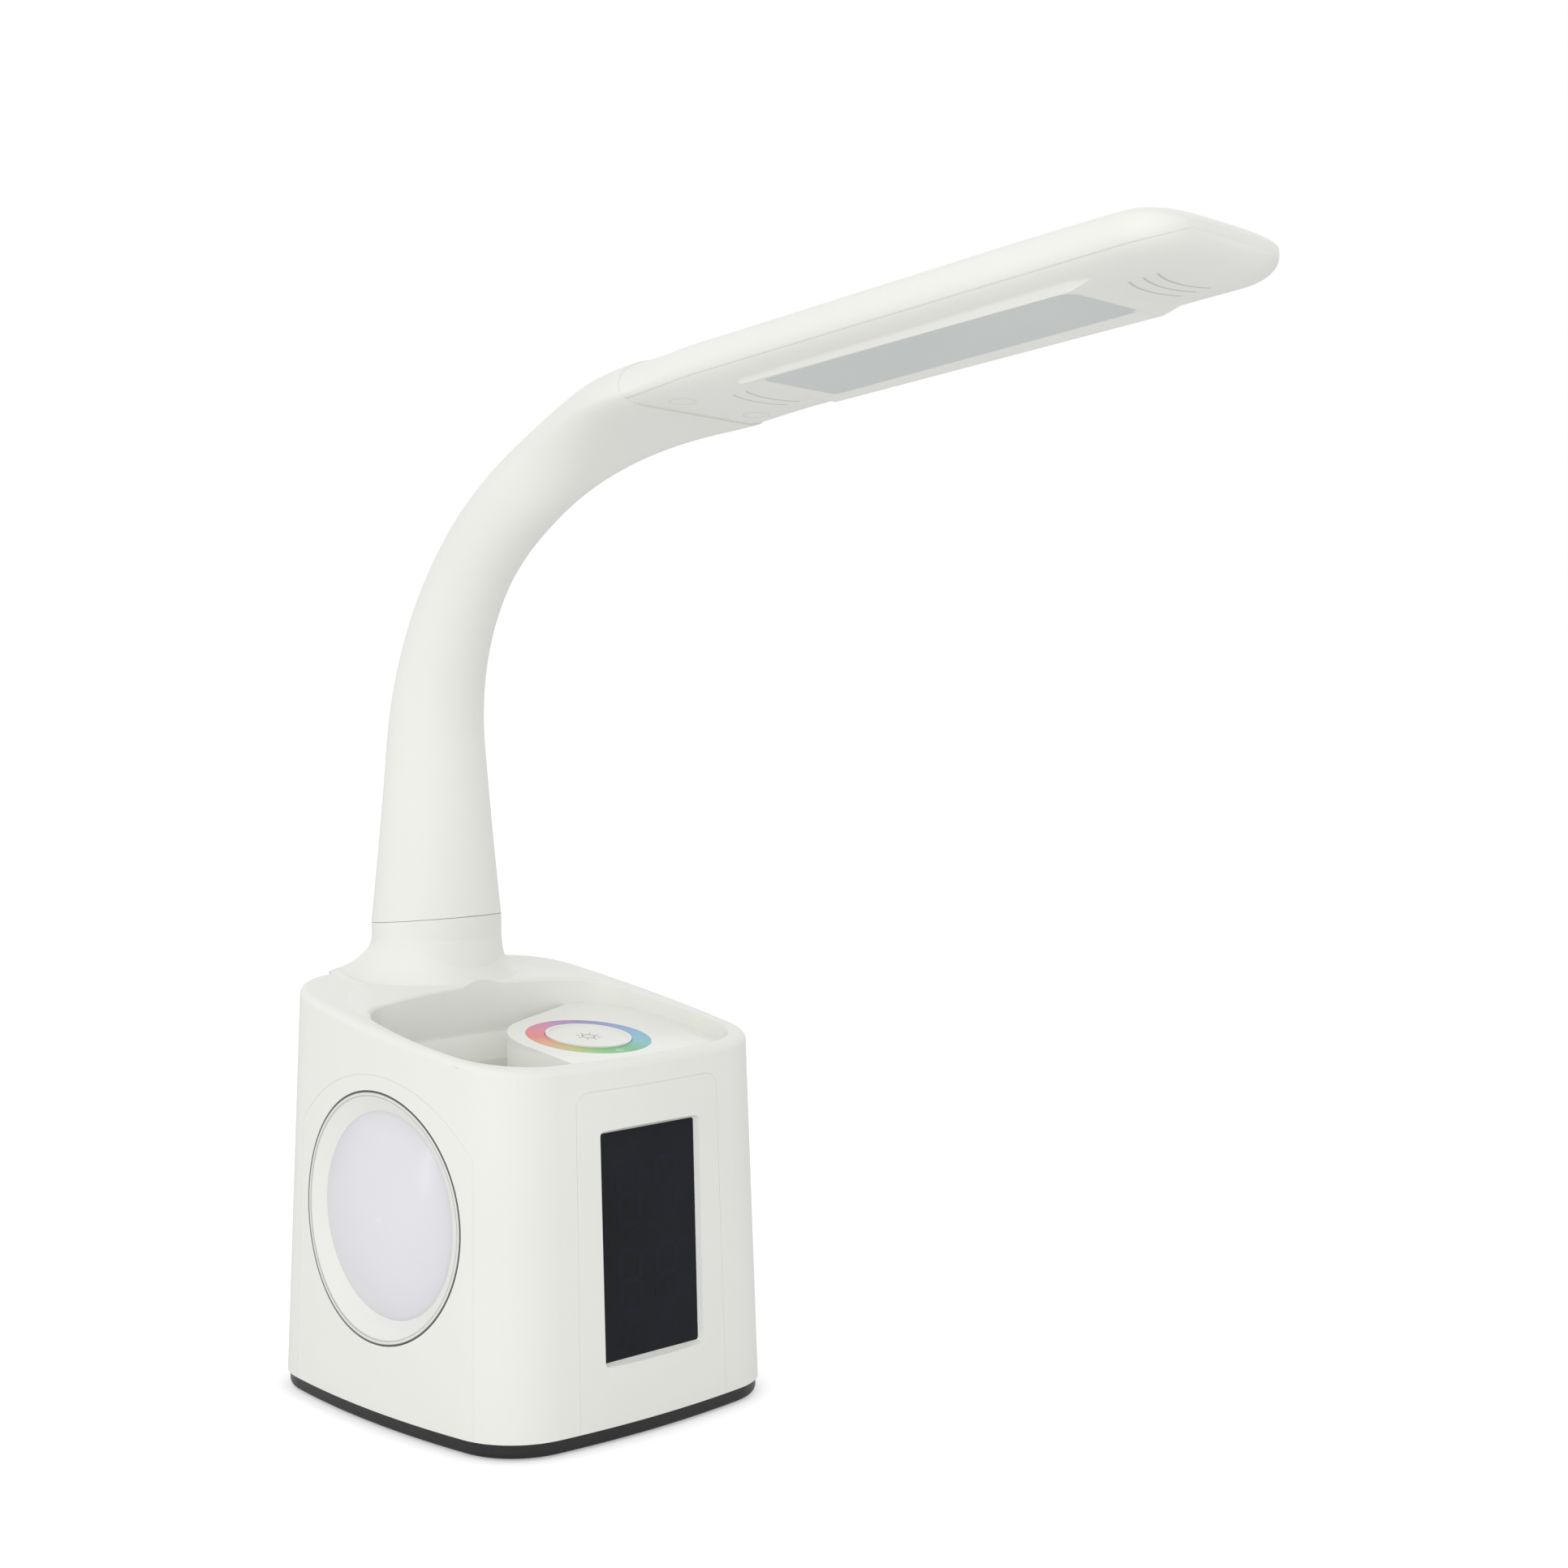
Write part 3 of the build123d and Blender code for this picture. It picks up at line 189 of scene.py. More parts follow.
def metal(name, colour, roughness, stretch):
    """A brushed metal: a noise that is stretched along X makes fine lines."""
    material, tree, shader = new_material(name)
    mapping = add_node(tree, "ShaderNodeMapping")
    mapping.inputs["Scale"].default_value = stretch
    tree.links.new(place_node(tree), mapping.inputs["Vector"])
    lines = add_node(tree, "ShaderNodeTexNoise")
    lines.inputs["Scale"].default_value = 900.0
    tree.links.new(mapping.outputs["Vector"], lines.inputs["Vector"])
    tone = ramp(tree, lines.outputs["Fac"], [(0.3, [part * 0.8 for part in colour]), (0.7, colour)])
    tree.links.new(tone, shader.inputs["Base Color"])
    shader.inputs["Metallic"].default_value = 1.0
    shader.inputs["Roughness"].default_value = roughness
    return material


def inside_box(tree, middle, half):
    """1 inside a box and 0 outside: the largest of the three distances, in half sizes, through a ramp."""
    centred = add_node(tree, "ShaderNodeVectorMath", operation="SUBTRACT")
    tree.links.new(place_node(tree), centred.inputs[0])
    centred.inputs[1].default_value = middle
    shares = add_node(tree, "ShaderNodeVectorMath", operation="DIVIDE")
    tree.links.new(centred.outputs[0], shares.inputs[0])
    shares.inputs[1].default_value = half
    sizes = add_node(tree, "ShaderNodeVectorMath", operation="ABSOLUTE")
    tree.links.new(shares.outputs[0], sizes.inputs[0])
    axes = add_node(tree, "ShaderNodeSeparateXYZ")
    tree.links.new(sizes.outputs[0], axes.inputs[0])
    largest = axes.outputs["X"]
    for name in ("Y", "Z"):
        larger = add_node(tree, "ShaderNodeMath", operation="MAXIMUM")
        tree.links.new(largest, larger.inputs[0])
        tree.links.new(axes.outputs[name], larger.inputs[1])
        largest = larger.outputs[0]
    return ramp(tree, largest, [(PAINTED_LIGHT_EDGE_SHARE, (1.0, 1.0, 1.0)), (1.0, (0.0, 0.0, 0.0))])


def shell_white_with_painted_light():
    """The shell's white with painted light: paler inside the pocket, which this light leaves darker than the
    photo.
    """
    material, tree, shader = moulded("shell_white", WHITE, 0.985, 0.32)
    tone = shader.inputs["Base Color"].links[0].from_socket
    mix = add_node(tree, "ShaderNodeMix", data_type="RGBA")
    tree.links.new(inside_box(tree, PAINTED_LIGHT_MIDDLE, PAINTED_LIGHT_HALF), mix.inputs["Factor"])
    tree.links.new(tone, mix.inputs[6])
    mix.inputs[7].default_value = (*POCKET_PAINTED_LIGHT, 1.0)
    tree.links.new(mix.outputs[2], shader.inputs["Base Color"])
    return material


shell_white = shell_white_with_painted_light()
panel_white = moulded("panel_white", WHITE, 0.98, 0.38)[0]
sleeve_white = moulded("sleeve_white", WHITE, 0.985, 0.45, grain=1200.0)[0]
button_white = moulded("button_white", (0.8, 0.8, 0.78), 0.97, 0.4)[0]
plate_black = moulded("plate_black", (0.022, 0.022, 0.024), 0.85, 0.35)[0]
inner_black = moulded("inner_black", (0.03, 0.03, 0.033), 0.8, 0.5)[0]
pad_rubber = moulded("pad_rubber", (0.025, 0.025, 0.026), 0.8, 0.8)[0]
steel = metal("steel", (0.55, 0.55, 0.57), 0.35, (1.0, 12.0, 12.0))
print("moulded plastics, rubber and steel are made")

# %% [markdown]
# The clear ring, the milky dome, the frosted light cover and the display window
#
# The ring round the night light is clear plastic over white, so it looks pale and its edge shows as dark
# lines, which light bent through the ring makes. Full transmission would draw such lines from the ring's own
# form, but they are hard to steer, so a ramp over the distance from the ring's middle paints them: painted
# refraction
# lines. The dome inside it is milky: light enters and is scattered before it leaves, which subsurface
# scattering gives. The light cover in the head is frosted, a grey of its own while the lamp is off.

# %% Clear, milky, frosted and dark plastics
SCATTER_LENGTH = 0.002
FROST_DEPTH = 0.00002
RING_PALE = (0.93, 0.94, 0.91)
# Painted refraction: the grey and dark lines at the ring's edge are drawn as colour, not made by light
# through the ring.
RING_PAINTED_GREY = (0.5, 0.5, 0.5)
RING_PAINTED_DARK = (0.12, 0.12, 0.12)


def clear_plastic():
    """A clear ring on white: the distance from its middle, in shares of its radius, sets pale or the painted
    dark refraction lines.
    """
    material, tree, shader = new_material("clear_plastic")
    low, high = (np.array(corner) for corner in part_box("night_light_ring"))
    middle = (low + high) / 2
    flatten = add_node(tree, "ShaderNodeVectorMath", operation="MULTIPLY_ADD")
    tree.links.new(place_node(tree), flatten.inputs[0])
    flatten.inputs[1].default_value = (0.0, 2 / (high[1] - low[1]), 2 / (high[2] - low[2]))
    flatten.inputs[2].default_value = (0.0, *(-2 * middle[1:] / (high - low)[1:]))
    distance = add_node(tree, "ShaderNodeVectorMath", operation="LENGTH")
    tree.links.new(flatten.outputs[0], distance.inputs[0])
    inner_painted_line = [(0.955, RING_PALE), (0.963, RING_PAINTED_GREY), (0.971, RING_PALE)]
    outer_painted_line = [(0.984, RING_PALE), (0.99, RING_PAINTED_DARK)]
    tone = ramp(tree, distance.outputs["Value"], inner_painted_line + outer_painted_line)
    tree.links.new(tone, shader.inputs["Base Color"])
    shader.inputs["Transmission Weight"].default_value = 0.12
    shader.inputs["Roughness"].default_value = 0.06
    return material


def milky_plastic():
    """A milky dome: bluish white, a smooth skin and light scattered inside."""
    material, tree, shader = new_material("milky_plastic")
    tone = ramp(tree, noise(tree, 22.0), [(0.3, (0.81, 0.81, 0.86)), (0.7, (0.835, 0.835, 0.88))])
    tree.links.new(tone, shader.inputs["Base Color"])
    shader.inputs["Roughness"].default_value = 0.16
    shader.inputs["Subsurface Weight"].default_value = 0.3
    shader.inputs["Subsurface Radius"].default_value = (1.0, 1.0, 1.0)
    shader.inputs["Subsurface Scale"].default_value = SCATTER_LENGTH
    return material


def frosted_plastic():
    """The light cover: two close greys in slow patches and a fine grain."""
    material, tree, shader = new_material("frosted_plastic")
    tone = ramp(tree, noise(tree, 14.0), [(0.25, (0.645, 0.68, 0.675)), (0.75, (0.69, 0.72, 0.715))])
    tree.links.new(tone, shader.inputs["Base Color"])
    shader.inputs["Roughness"].default_value = 0.4
    shader.inputs["Specular IOR Level"].default_value = 0.3
    bump(tree, shader, noise(tree, 2500.0), FROST_DEPTH)
    return material


def dark_window():
    """The display window: nearly black, smooth, with a faint cloud of blue."""
    material, tree, shader = new_material("dark_window")
    tone = ramp(tree, noise(tree, 45.0, 4.0), [(0.3, (0.012, 0.0135, 0.016)), (0.7, (0.015, 0.017, 0.022))])
    tree.links.new(tone, shader.inputs["Base Color"])
    shader.inputs["Roughness"].default_value = 0.12
    shader.inputs["Specular IOR Level"].default_value = 0.12
    return material


def ghost_segment():
    """The unlit digits: a shade bluer than the window."""
    material, tree, shader = new_material("ghost_segment")
    tone = ramp(tree, noise(tree, 120.0), [(0.3, (0.0128, 0.0150, 0.0215)), (0.7, (0.0150, 0.0178, 0.0265))])
    tree.links.new(tone, shader.inputs["Base Color"])
    shader.inputs["Roughness"].default_value = 0.12
    shader.inputs["Specular IOR Level"].default_value = 0.12
    return material


clear = clear_plastic()
milky = milky_plastic()
frosted = frosted_plastic()
window = dark_window()
ghost = ghost_segment()
print("clear, milky, frosted and dark plastics are made")

# %% [markdown]
# The colour ring of the touch control
#
# The ring shows every hue once. Its colour depends on the angle round the ring's middle, so the
# material takes the arc tangent of the two distances from the middle and sends it through a ramp.
# A printed picture would do too, but the ramp has no edge where the picture's ends would meet.

# %% The colour ring, boards and light chips
POD_X = 0.014685
POD_Y = -0.0161
DECK_SLOPE = radians(6.849)
DECK_LEVEL = 0.119798
DECK_HEIGHT = DECK_LEVEL + POD_Y * tan(DECK_SLOPE)


def colour_ring():
    """Hues round a circle: the angle from -pi to pi is brought to 0 to 1 and read from a ramp."""
    material, tree, shader = new_material("colour_ring")
    parts = add_node(tree, "ShaderNodeSeparateXYZ")
    tree.links.new(place_node(tree), parts.inputs["Vector"])
    across = add_node(tree, "ShaderNodeMath", operation="SUBTRACT")
    across.inputs[1].default_value = POD_X
    tree.links.new(parts.outputs["X"], across.inputs[0])
    along = add_node(tree, "ShaderNodeMath", operation="SUBTRACT")
    along.inputs[1].default_value = POD_Y
    tree.links.new(parts.outputs["Y"], along.inputs[0])
    angle = add_node(tree, "ShaderNodeMath", operation="ARCTAN2")
    tree.links.new(along.outputs[0], angle.inputs[0])
    tree.links.new(across.outputs[0], angle.inputs[1])
    share = add_node(tree, "ShaderNodeMapRange")
    share.inputs["From Min"].default_value = -pi
    share.inputs["From Max"].default_value = pi
    tree.links.new(angle.outputs[0], share.inputs["Value"])
    stops = [
        (0.0, (0.80, 0.33, 0.15)),
        (0.09, (0.50, 0.55, 0.13)),
        (0.18, (0.18, 0.55, 0.16)),
        (0.28, (0.11, 0.50, 0.22)),
        (0.37, (0.14, 0.52, 0.60)),
        (0.48, (0.17, 0.42, 0.72)),
        (0.58, (0.20, 0.26, 0.62)),
        (0.67, (0.28, 0.20, 0.52)),
        (0.77, (0.60, 0.22, 0.48)),
        (0.85, (0.80, 0.20, 0.30)),
        (0.93, (0.82, 0.16, 0.14)),
        (1.0, (0.80, 0.33, 0.15)),
    ]
    hue = ramp(tree, share.outputs["Result"], stops)
    tree.links.new(hue, shader.inputs["Base Color"])
    shader.inputs["Roughness"].default_value = 0.25
    return material


def circuit_board():
    """A circuit board: dark green lacquer with lighter tracks from a grid of cells."""
    material, tree, shader = new_material("circuit_board")
    cells = add_node(tree, "ShaderNodeTexVoronoi", distance="MANHATTAN", feature="DISTANCE_TO_EDGE")
    cells.inputs["Scale"].default_value = 320.0
    tree.links.new(place_node(tree), cells.inputs["Vector"])
    tone = ramp(tree, cells.outputs["Distance"], [(0.05, (0.03, 0.16, 0.07)), (0.12, (0.015, 0.09, 0.035))])
    tree.links.new(tone, shader.inputs["Base Color"])
    shader.inputs["Roughness"].default_value = 0.4
    return material


ring_colours = colour_ring()
board = circuit_board()
chip = moulded("light_chip", (0.85, 0.74, 0.34), 0.9, 0.3)[0]
mark_grey = moulded("mark_grey", (0.16, 0.16, 0.16), 0.9, 0.5)[0]
# Painted shade: this grey stands for the shade inside the vents' grooves and the plugs' gaps.
painted_groove_shade = moulded("painted_groove_shade", (0.66, 0.665, 0.64), 0.95, 0.5)[0]
mark_white = moulded("mark_white", (0.82, 0.86, 0.80), 0.95, 0.5)[0]
print("colour ring, board, chip and mark materials are made")

# %% [markdown]
# A material for every piece
#
# A table by name keeps the choice of finish in one place. The set buttons, the sleeve's pieces and the
# gooseneck's pieces are numbered, so they are told by how their names begin.

# %% Give every CAD piece its material
materials_of = {
    "base_shell": shell_white, "touch_disc": shell_white,
    "head_top_cover": shell_white, "head_bottom_cover": shell_white, "screw_plugs": shell_white,
    "front_panel": panel_white, "side_panel": panel_white, "night_light_dish": panel_white,
    "lcd_window": window, "lcd_module": inner_black, "power_inlet": inner_black, "neck_clamp": inner_black,
    "night_light_ring": clear, "night_light_dome": milky, "head_diffuser": frosted,
    "touch_ring": ring_colours, "base_plate": plate_black, "rubber_pad": pad_rubber,
    "clock_board": board, "night_light_board": board, "touch_board": board,
    "main_board": board, "button_board": board, "light_board": board,
    "night_light_chips": chip, "light_chips": chip,
    "base_screws": steel, "ballast_plate": steel, "contact_domes": steel,
    "neck_nut": steel, "head_screws": steel,
}
for name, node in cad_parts.items():
    material = materials_of.get(name)
    if name.startswith("set_button"):
        material = button_white
    if name.startswith("neck_sleeve"):
        material = sleeve_white
    if name.startswith("gooseneck"):
        material = steel
    node.data.materials.clear()
    node.data.materials.append(material)
print("pieces with a material:", len(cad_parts))

# %% [markdown]
# The sleeve of the neck
#
# The sleeve is soft and slips over the gooseneck, so it is one skin from the collar to the head.
# It is a surface of two parameters: the length along the neck and the angle round it. At each length
# the section is an arch over a belly with round sides. Near the foot it is a circle that grows
# towards the collar, and near the head it widens, flattens below and twists into the head's own form.
# A curve with a bevel can't change its section in this way, so the points are worked out. The skin is
# cut half way between joints, where it doesn't bend, into one piece for each joint.


# %% The neck's line and the sleeve's section
def neck_line(length):
    """The neck's middle line at lengths from the seam: y, z and the lean from upright.

    A straight foot, then two arcs of given radius and turn, then a straight line."""
    lower_end = STRAIGHT + LOWER_RADIUS * LOWER_BEND
    straight = np.minimum(length, STRAIGHT)
    lower = np.clip(length - STRAIGHT, 0, LOWER_RADIUS * LOWER_BEND) / LOWER_RADIUS
    upper = np.clip(length - lower_end, 0, UPPER_RADIUS * UPPER_BEND) / UPPER_RADIUS
    rest = np.maximum(length - BEND_END, 0)
    lean = lower + upper
    y = NECK_Y - LOWER_RADIUS * (1 - np.cos(lower))
    z = SEAM_HEIGHT + straight + LOWER_RADIUS * np.sin(lower)
    y = y - UPPER_RADIUS * (np.cos(lower) - np.cos(lean)) - rest * np.sin(lean)
    z = z + UPPER_RADIUS * (np.sin(lean) - np.sin(lower)) + rest * np.cos(lean)
    return y, z, lean


def head_blend(length):
    """How far the sleeve has turned into the head's form: a smooth step from 0 to 1 along the neck."""
    share = np.clip((length - WIDEN_START) / (BEND_END + HEAD_START - WIDEN_START), 0, 1)
    return share * share * (3 - 2 * share)


def sleeve_section(length, angle):
    """The section's distance across and its height above the middle line, for lengths and angles.

    The upper half is an ellipse. The lower half is a flat stretch between two quarter ellipses. All sizes
    blend from a circle, whose radius grows by a power law towards the foot, into the head's sizes."""
    left = np.clip(1 - length / FLARE_LENGTH, 0, None)
    radius = SLEEVE_RADIUS + FOOT_FLARE * left ** FLARE_POWER
    blend = head_blend(length)
    half = radius + (END_HALF_WIDTH - radius) * blend
    crest = radius + (END_CREST - radius) * blend
    belly = radius + (END_BELLY - radius) * blend
    flat = half * (FLAT_SHARES[0] + (FLAT_SHARES[1] - FLAT_SHARES[0]) * blend)
    across = half * np.cos(angle)
    past_flat = np.clip((np.abs(across) - flat) / (half - flat), 0, 1)
    below = -belly * np.sqrt(1 - past_flat ** 2)
    rise = np.where(np.sin(angle) > 0, crest * np.sin(angle), below)
    return across, rise + END_SEAM * blend


def sleeve_points(length, angle):
    """Points of the sleeve for lengths and angles: angle 0 is the side and a quarter turn is the top.

    The section is turned by the twist and set square to the neck's line."""
    y, z, lean = neck_line(length)
    across, rise = sleeve_section(length, angle)
    turn = END_TWIST * head_blend(length)
    side = across * np.cos(turn) + rise * np.sin(turn)
    outward = rise * np.cos(turn) - across * np.sin(turn)
    return np.stack([side, y + outward * np.cos(lean), z + outward * np.sin(lean)], axis=-1)


foot_across = sleeve_section(np.array(0.0), np.array(0.0))[0]
print("sleeve half width at the foot, mm:", round(float(foot_across) * 1000, 2))

# %% [markdown]
# A piece of sleeve is a grid of points, closed at both ends by a fan. The first row lies on the
# collar's slanting seam and the last row on the head's slanting cut: there the length depends on the
# angle, so that the row lies in that plane.

# %% Build the sleeve's pieces
ROUND_STEPS = 96
ROW_LENGTH = 0.001


def seam_start(angle):
    """The length at which the sleeve leaves the collar's slanting seam, with a fine gap as its line."""
    foot = SLEEVE_RADIUS + FOOT_FLARE
    return SEAM_LINE - foot * np.sin(angle) * np.tan(SEAM_TILT)


def scarf_end(angle):
    """The length at which the sleeve ends on the slanting cut before the head."""
    rise = sleeve_section(np.full_like(angle, BEND_END + HEAD_START), angle)[1]
    return BEND_END + HEAD_START + SCARF_LINE - rise * np.tan(SCARF_TILT)


def closed_tube(name, points, material, smooth_sides=True):
    """A mesh from a grid of points, rows by steps round, with a fan over each end and sharp edges there."""
    rows, steps = points.shape[:2]
    index = np.arange(rows * steps).reshape(rows, steps)
    following = np.roll(index, -1, axis=1)
    quads = np.stack([index[:-1], following[:-1], following[1:], index[1:]], axis=-1).reshape(-1, 4)
    first = rows * steps
    last = first + 1
    near_fan = [(first, int(b), int(a)) for a, b in zip(index[0], following[0])]
    far_fan = [(last, int(a), int(b)) for a, b in zip(index[-1], following[-1])]
    middles = np.stack([points[0].mean(axis=0), points[-1].mean(axis=0)])
    vertices = np.concatenate([points.reshape(-1, 3), middles])
    mesh = bpy.data.meshes.new(name)
    mesh.from_pydata(vertices.tolist(), [], quads.tolist() + near_fan + far_fan)
    smooth = np.full(len(mesh.polygons), smooth_sides)
    smooth[len(quads):] = False
    mesh.polygons.foreach_set("use_smooth", smooth)
    ends = np.empty(2 * len(mesh.edges), int)
    mesh.edges.foreach_get("vertices", ends)
    row_of = ends.reshape(-1, 2) // steps
    around = (row_of[:, 0] == row_of[:, 1]) & np.isin(row_of[:, 0], (0, rows - 1))
    mesh.edges.foreach_set("use_edge_sharp", around)
    mesh.materials.append(material)
    piece = bpy.data.objects.new(name, mesh)
    bpy.context.scene.collection.objects.link(piece)
    return piece


def sleeve_pieces():
    """One piece of sleeve per joint, from half way before it to half way after it."""
    angle = np.linspace(0, 2 * pi, ROUND_STEPS, endpoint=False)
    made = []
    for number in range(JOINT_COUNT):
        joint = FIRST_JOINT + JOINT_STEP * number
        start = np.full_like(angle, joint - JOINT_STEP / 2)
        end = np.full_like(angle, joint + JOINT_STEP / 2)
        if number == 0:
            start = seam_start(angle)
        if number == JOINT_COUNT - 1:
            end = scarf_end(angle)
        rows = int(np.mean(end - start) / ROW_LENGTH) + 2
        share = np.linspace(0, 1, rows)[:, None]
        length = start * (1 - share) + end * share
        points = sleeve_points(length, np.broadcast_to(angle, length.shape))
        piece = closed_tube(f"sleeve_skin_{number + 1}", points, sleeve_white)
        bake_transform(piece)
        made.append(piece)
    return made


skins = sleeve_pieces()
for number, skin in enumerate(skins):
    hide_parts(f"neck_sleeve_{number}")
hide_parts(f"neck_sleeve_{JOINT_COUNT}")
print("sleeve pieces:", [(skin.name, len(skin.data.polygons)) for skin in skins])

# %% [markdown]
# Marks on the touch control and the unlit digits
#
# A mark is a set of flat strips with a little thickness, printed on a plane. Each strip is a closed
# prism over a polygon. The sun on the disc is a ring with eight rays; the mark on the colour ring is
# the usual power sign. Behind the window the unlit digits are seven strips each. A picture on the
# surface would be simpler, but strips stay sharp at any distance.

# %% Flat prisms on a plane
PRINT_LIFT = 0.00003
PRINT_DEPTH = 0.0001


def plane_points(flat, lift, origin, across, upward):
    """Points of a plane from flat coordinates, raised along the plane's normal."""
    normal = np.cross(across, upward)
    return origin + flat[:, :1] * across + flat[:, 1:] * upward + lift * normal


def prism_mesh(name, outlines, surface, material, body="base"):
    """One mesh of closed prisms, one over each convex outline, sunk a little into a surface."""
    vertices = []
    faces = []
    for outline in outlines:
        count = len(outline)
        flat = np.asarray(outline, float)
        base = len(vertices)
        vertices += surface(flat, -PRINT_DEPTH).tolist()
        vertices += surface(flat, PRINT_LIFT).tolist()
        faces.append([base + count - 1 - k for k in range(count)])
        faces.append([base + count + k for k in range(count)])
        for k in range(count):
            after = (k + 1) % count
            faces.append([base + k, base + after, base + count + after, base + count + k])
    mesh = bpy.data.meshes.new(name)
    mesh.from_pydata(vertices, [], faces)
    mesh.materials.append(material)
    piece = bpy.data.objects.new(name, mesh)
    bpy.context.scene.collection.objects.link(piece)
    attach(piece, body)
    return piece


def arc_strips(middle, radius, width, start, end, steps):
    """A bent strip as a row of four-cornered pieces, counter-clockwise."""
    angles = np.linspace(start, end, steps + 1)
    inner = radius - width / 2
    outer = radius + width / 2
    strips = []
    for a, b in zip(angles[:-1], angles[1:]):
        corners = [(inner, a), (outer, a), (outer, b), (inner, b)]
        strips.append([(middle[0] + r * cos(t), middle[1] + r * sin(t)) for r, t in corners])
    return strips


def bar(start, end, width):
    """A straight strip between two points."""
    start = np.asarray(start, float)
    end = np.asarray(end, float)
    along = (end - start) / np.linalg.norm(end - start)
    side = np.array([-along[1], along[0]]) * width / 2
    return [tuple(start - side), tuple(end - side), tuple(end + side), tuple(start + side)]


print("prints stand above their surface by, mm:", PRINT_LIFT * 1000)

# %% The sun and the power sign
SUN_RADIUS = 0.0021
RAY_START = 0.0029
RAY_END = 0.0041
RAY_COUNT = 8
LINE_WIDTH = 0.00032
POWER_PLACE = (-0.0019, -0.0178)
POWER_RADIUS = 0.0011
POWER_GAP = radians(35.0)

deck_origin = np.array([POD_X, POD_Y, DECK_HEIGHT])
rightward = np.array([1.0, 0.0, 0.0])
deck_upward = np.array([0.0, cos(DECK_SLOPE), sin(DECK_SLOPE)])


def sun_outlines():
    """A ring and eight rays."""
    outlines = arc_strips((0, 0), SUN_RADIUS, LINE_WIDTH, 0, 2 * pi, 32)
    for number in range(RAY_COUNT):
        turn = 2 * pi * number / RAY_COUNT
        direction = np.array([cos(turn), sin(turn)])
        outlines.append(bar(RAY_START * direction, RAY_END * direction, LINE_WIDTH))
    return outlines


def power_outlines():
    """A ring that is open at the top, with a bar in the gap."""
    middle = np.array(POWER_PLACE)
    start = pi / 2 + POWER_GAP
    end = pi / 2 + 2 * pi - POWER_GAP
    outlines = arc_strips(middle, POWER_RADIUS, LINE_WIDTH, start, end, 24)
    outlines.append(bar(middle, middle + np.array([0, POWER_RADIUS]), LINE_WIDTH))
    return outlines


def deck_points(flat, lift):
    """Points over the touch control's sloping deck."""
    return plane_points(flat, lift, deck_origin, rightward, deck_upward)


sun = prism_mesh("sun_mark", sun_outlines(), deck_points, mark_grey)
power = prism_mesh("power_mark", power_outlines(), deck_points, mark_white)
print("sun strips:", len(sun_outlines()), "power sign strips:", len(power_outlines()))

# %% The unlit digits behind the display window
FRONT_LEAN = radians(2.13)
BODY_BOTTOM = 0.0055
BASE_DEPTHS = (0.0672, 0.0705)
FRONT_Y = -BASE_DEPTHS[0] - BODY_BOTTOM * tan(FRONT_LEAN)
WINDOW_DEPTH = 0.0025
STROKE_HALF_SHARE = 0.42
STROKE_GAP_SHARE = 0.08
BIG_DIGIT = (0.0108, 0.0212, 0.0026)
SMALL_DIGIT = (0.0036, 0.0066, 0.0009)
BIG_ROWS = (0.0767, 0.0493)
BIG_COLUMNS = (-0.0081, 0.0072)
SMALL_ROW = 0.0312
SMALL_COLUMNS = (-0.0123, -0.0068, 0.0056, 0.0111)


def digit_outlines(middle, size):
    """The seven strips of a digit, three level and four upright, each a bar with pointed ends."""
    width, height, stroke = size
    right = width / 2 - stroke / 2
    high = height / 2 - stroke / 2
    level = [((-right, rise), (right, rise)) for rise in (high, 0, -high)]
    upright = [((column, low), (column, low + high)) for column in (-right, right) for low in (0, -high)]
    outlines = []
    for start, end in level + upright:
        start = np.array(start) + middle
        end = np.array(end) + middle
        along = (end - start) / np.linalg.norm(end - start)
        side = np.array([-along[1], along[0]]) * stroke * STROKE_HALF_SHARE
        near = start + along * stroke * STROKE_GAP_SHARE
        far = end - along * stroke * STROKE_GAP_SHARE
        inset = along * stroke * STROKE_HALF_SHARE
        right_edge = [near + inset - side, far - inset - side]
        left_edge = [far - inset + side, near + inset + side]
        outlines.append([near, *right_edge, far, *left_edge])
    return outlines


def display_outlines():
    """Two rows of large digits and a row of small ones, in the display's plane."""
    outlines = []
    for row in BIG_ROWS:
        for column in BIG_COLUMNS:
            outlines += digit_outlines(np.array([column, row]), BIG_DIGIT)
    for column in SMALL_COLUMNS:
        outlines += digit_outlines(np.array([column, SMALL_ROW]), SMALL_DIGIT)
    return outlines


window_origin = np.array([0.0, FRONT_Y + WINDOW_DEPTH / cos(FRONT_LEAN), 0.0])
window_upward = np.array([0.0, sin(FRONT_LEAN), cos(FRONT_LEAN)])


def window_points(flat, lift):
    """Points over the display's leaning window."""
    return plane_points(flat, lift, window_origin, rightward, window_upward)


digits = prism_mesh("unlit_digits", display_outlines(), window_points, ghost)
print("digit strips:", len(display_outlines()))

# %% [markdown]
# Ledges behind the seams
#
# Where two mouldings meet, the seam is a shallow groove and not a hole, because one of them has a ledge
# that the other rests on. A ledge is a strip that follows the seam's line, sunk a little under the wall.
# A dark line in the material would look flat, so the ledges are real strips. A ray from outside finds
# the wall at each point of the line.

# %% Ledges of the front and side panels
INTO_FRONT = (0.0, 1.0, 0.0)
INTO_SIDE = (1.0, 0.0, 0.0)
PROBE_REACH = 0.3
LEDGE_SINK = 0.0002
LEDGE_DEPTH = 0.0012
LEDGE_WIDTH = 0.0006
PROBE_INSET = 0.0006
PANEL_BOTTOM = 0.0056
PANEL_HALF_WIDTHS = (0.03070, 0.02920)
PANEL_FOOT = -0.0005
PANEL_TOP = 0.1104
PANEL_CORNER = 0.005
NIGHT_Y = -0.0015
SIDE_HALF_WIDTH = 0.044002
SIDE_TAPER = 0.0026
SIDE_TOP = 0.1120
SIDE_ARCH = 0.058002
SEAM_HALF = 0.0001


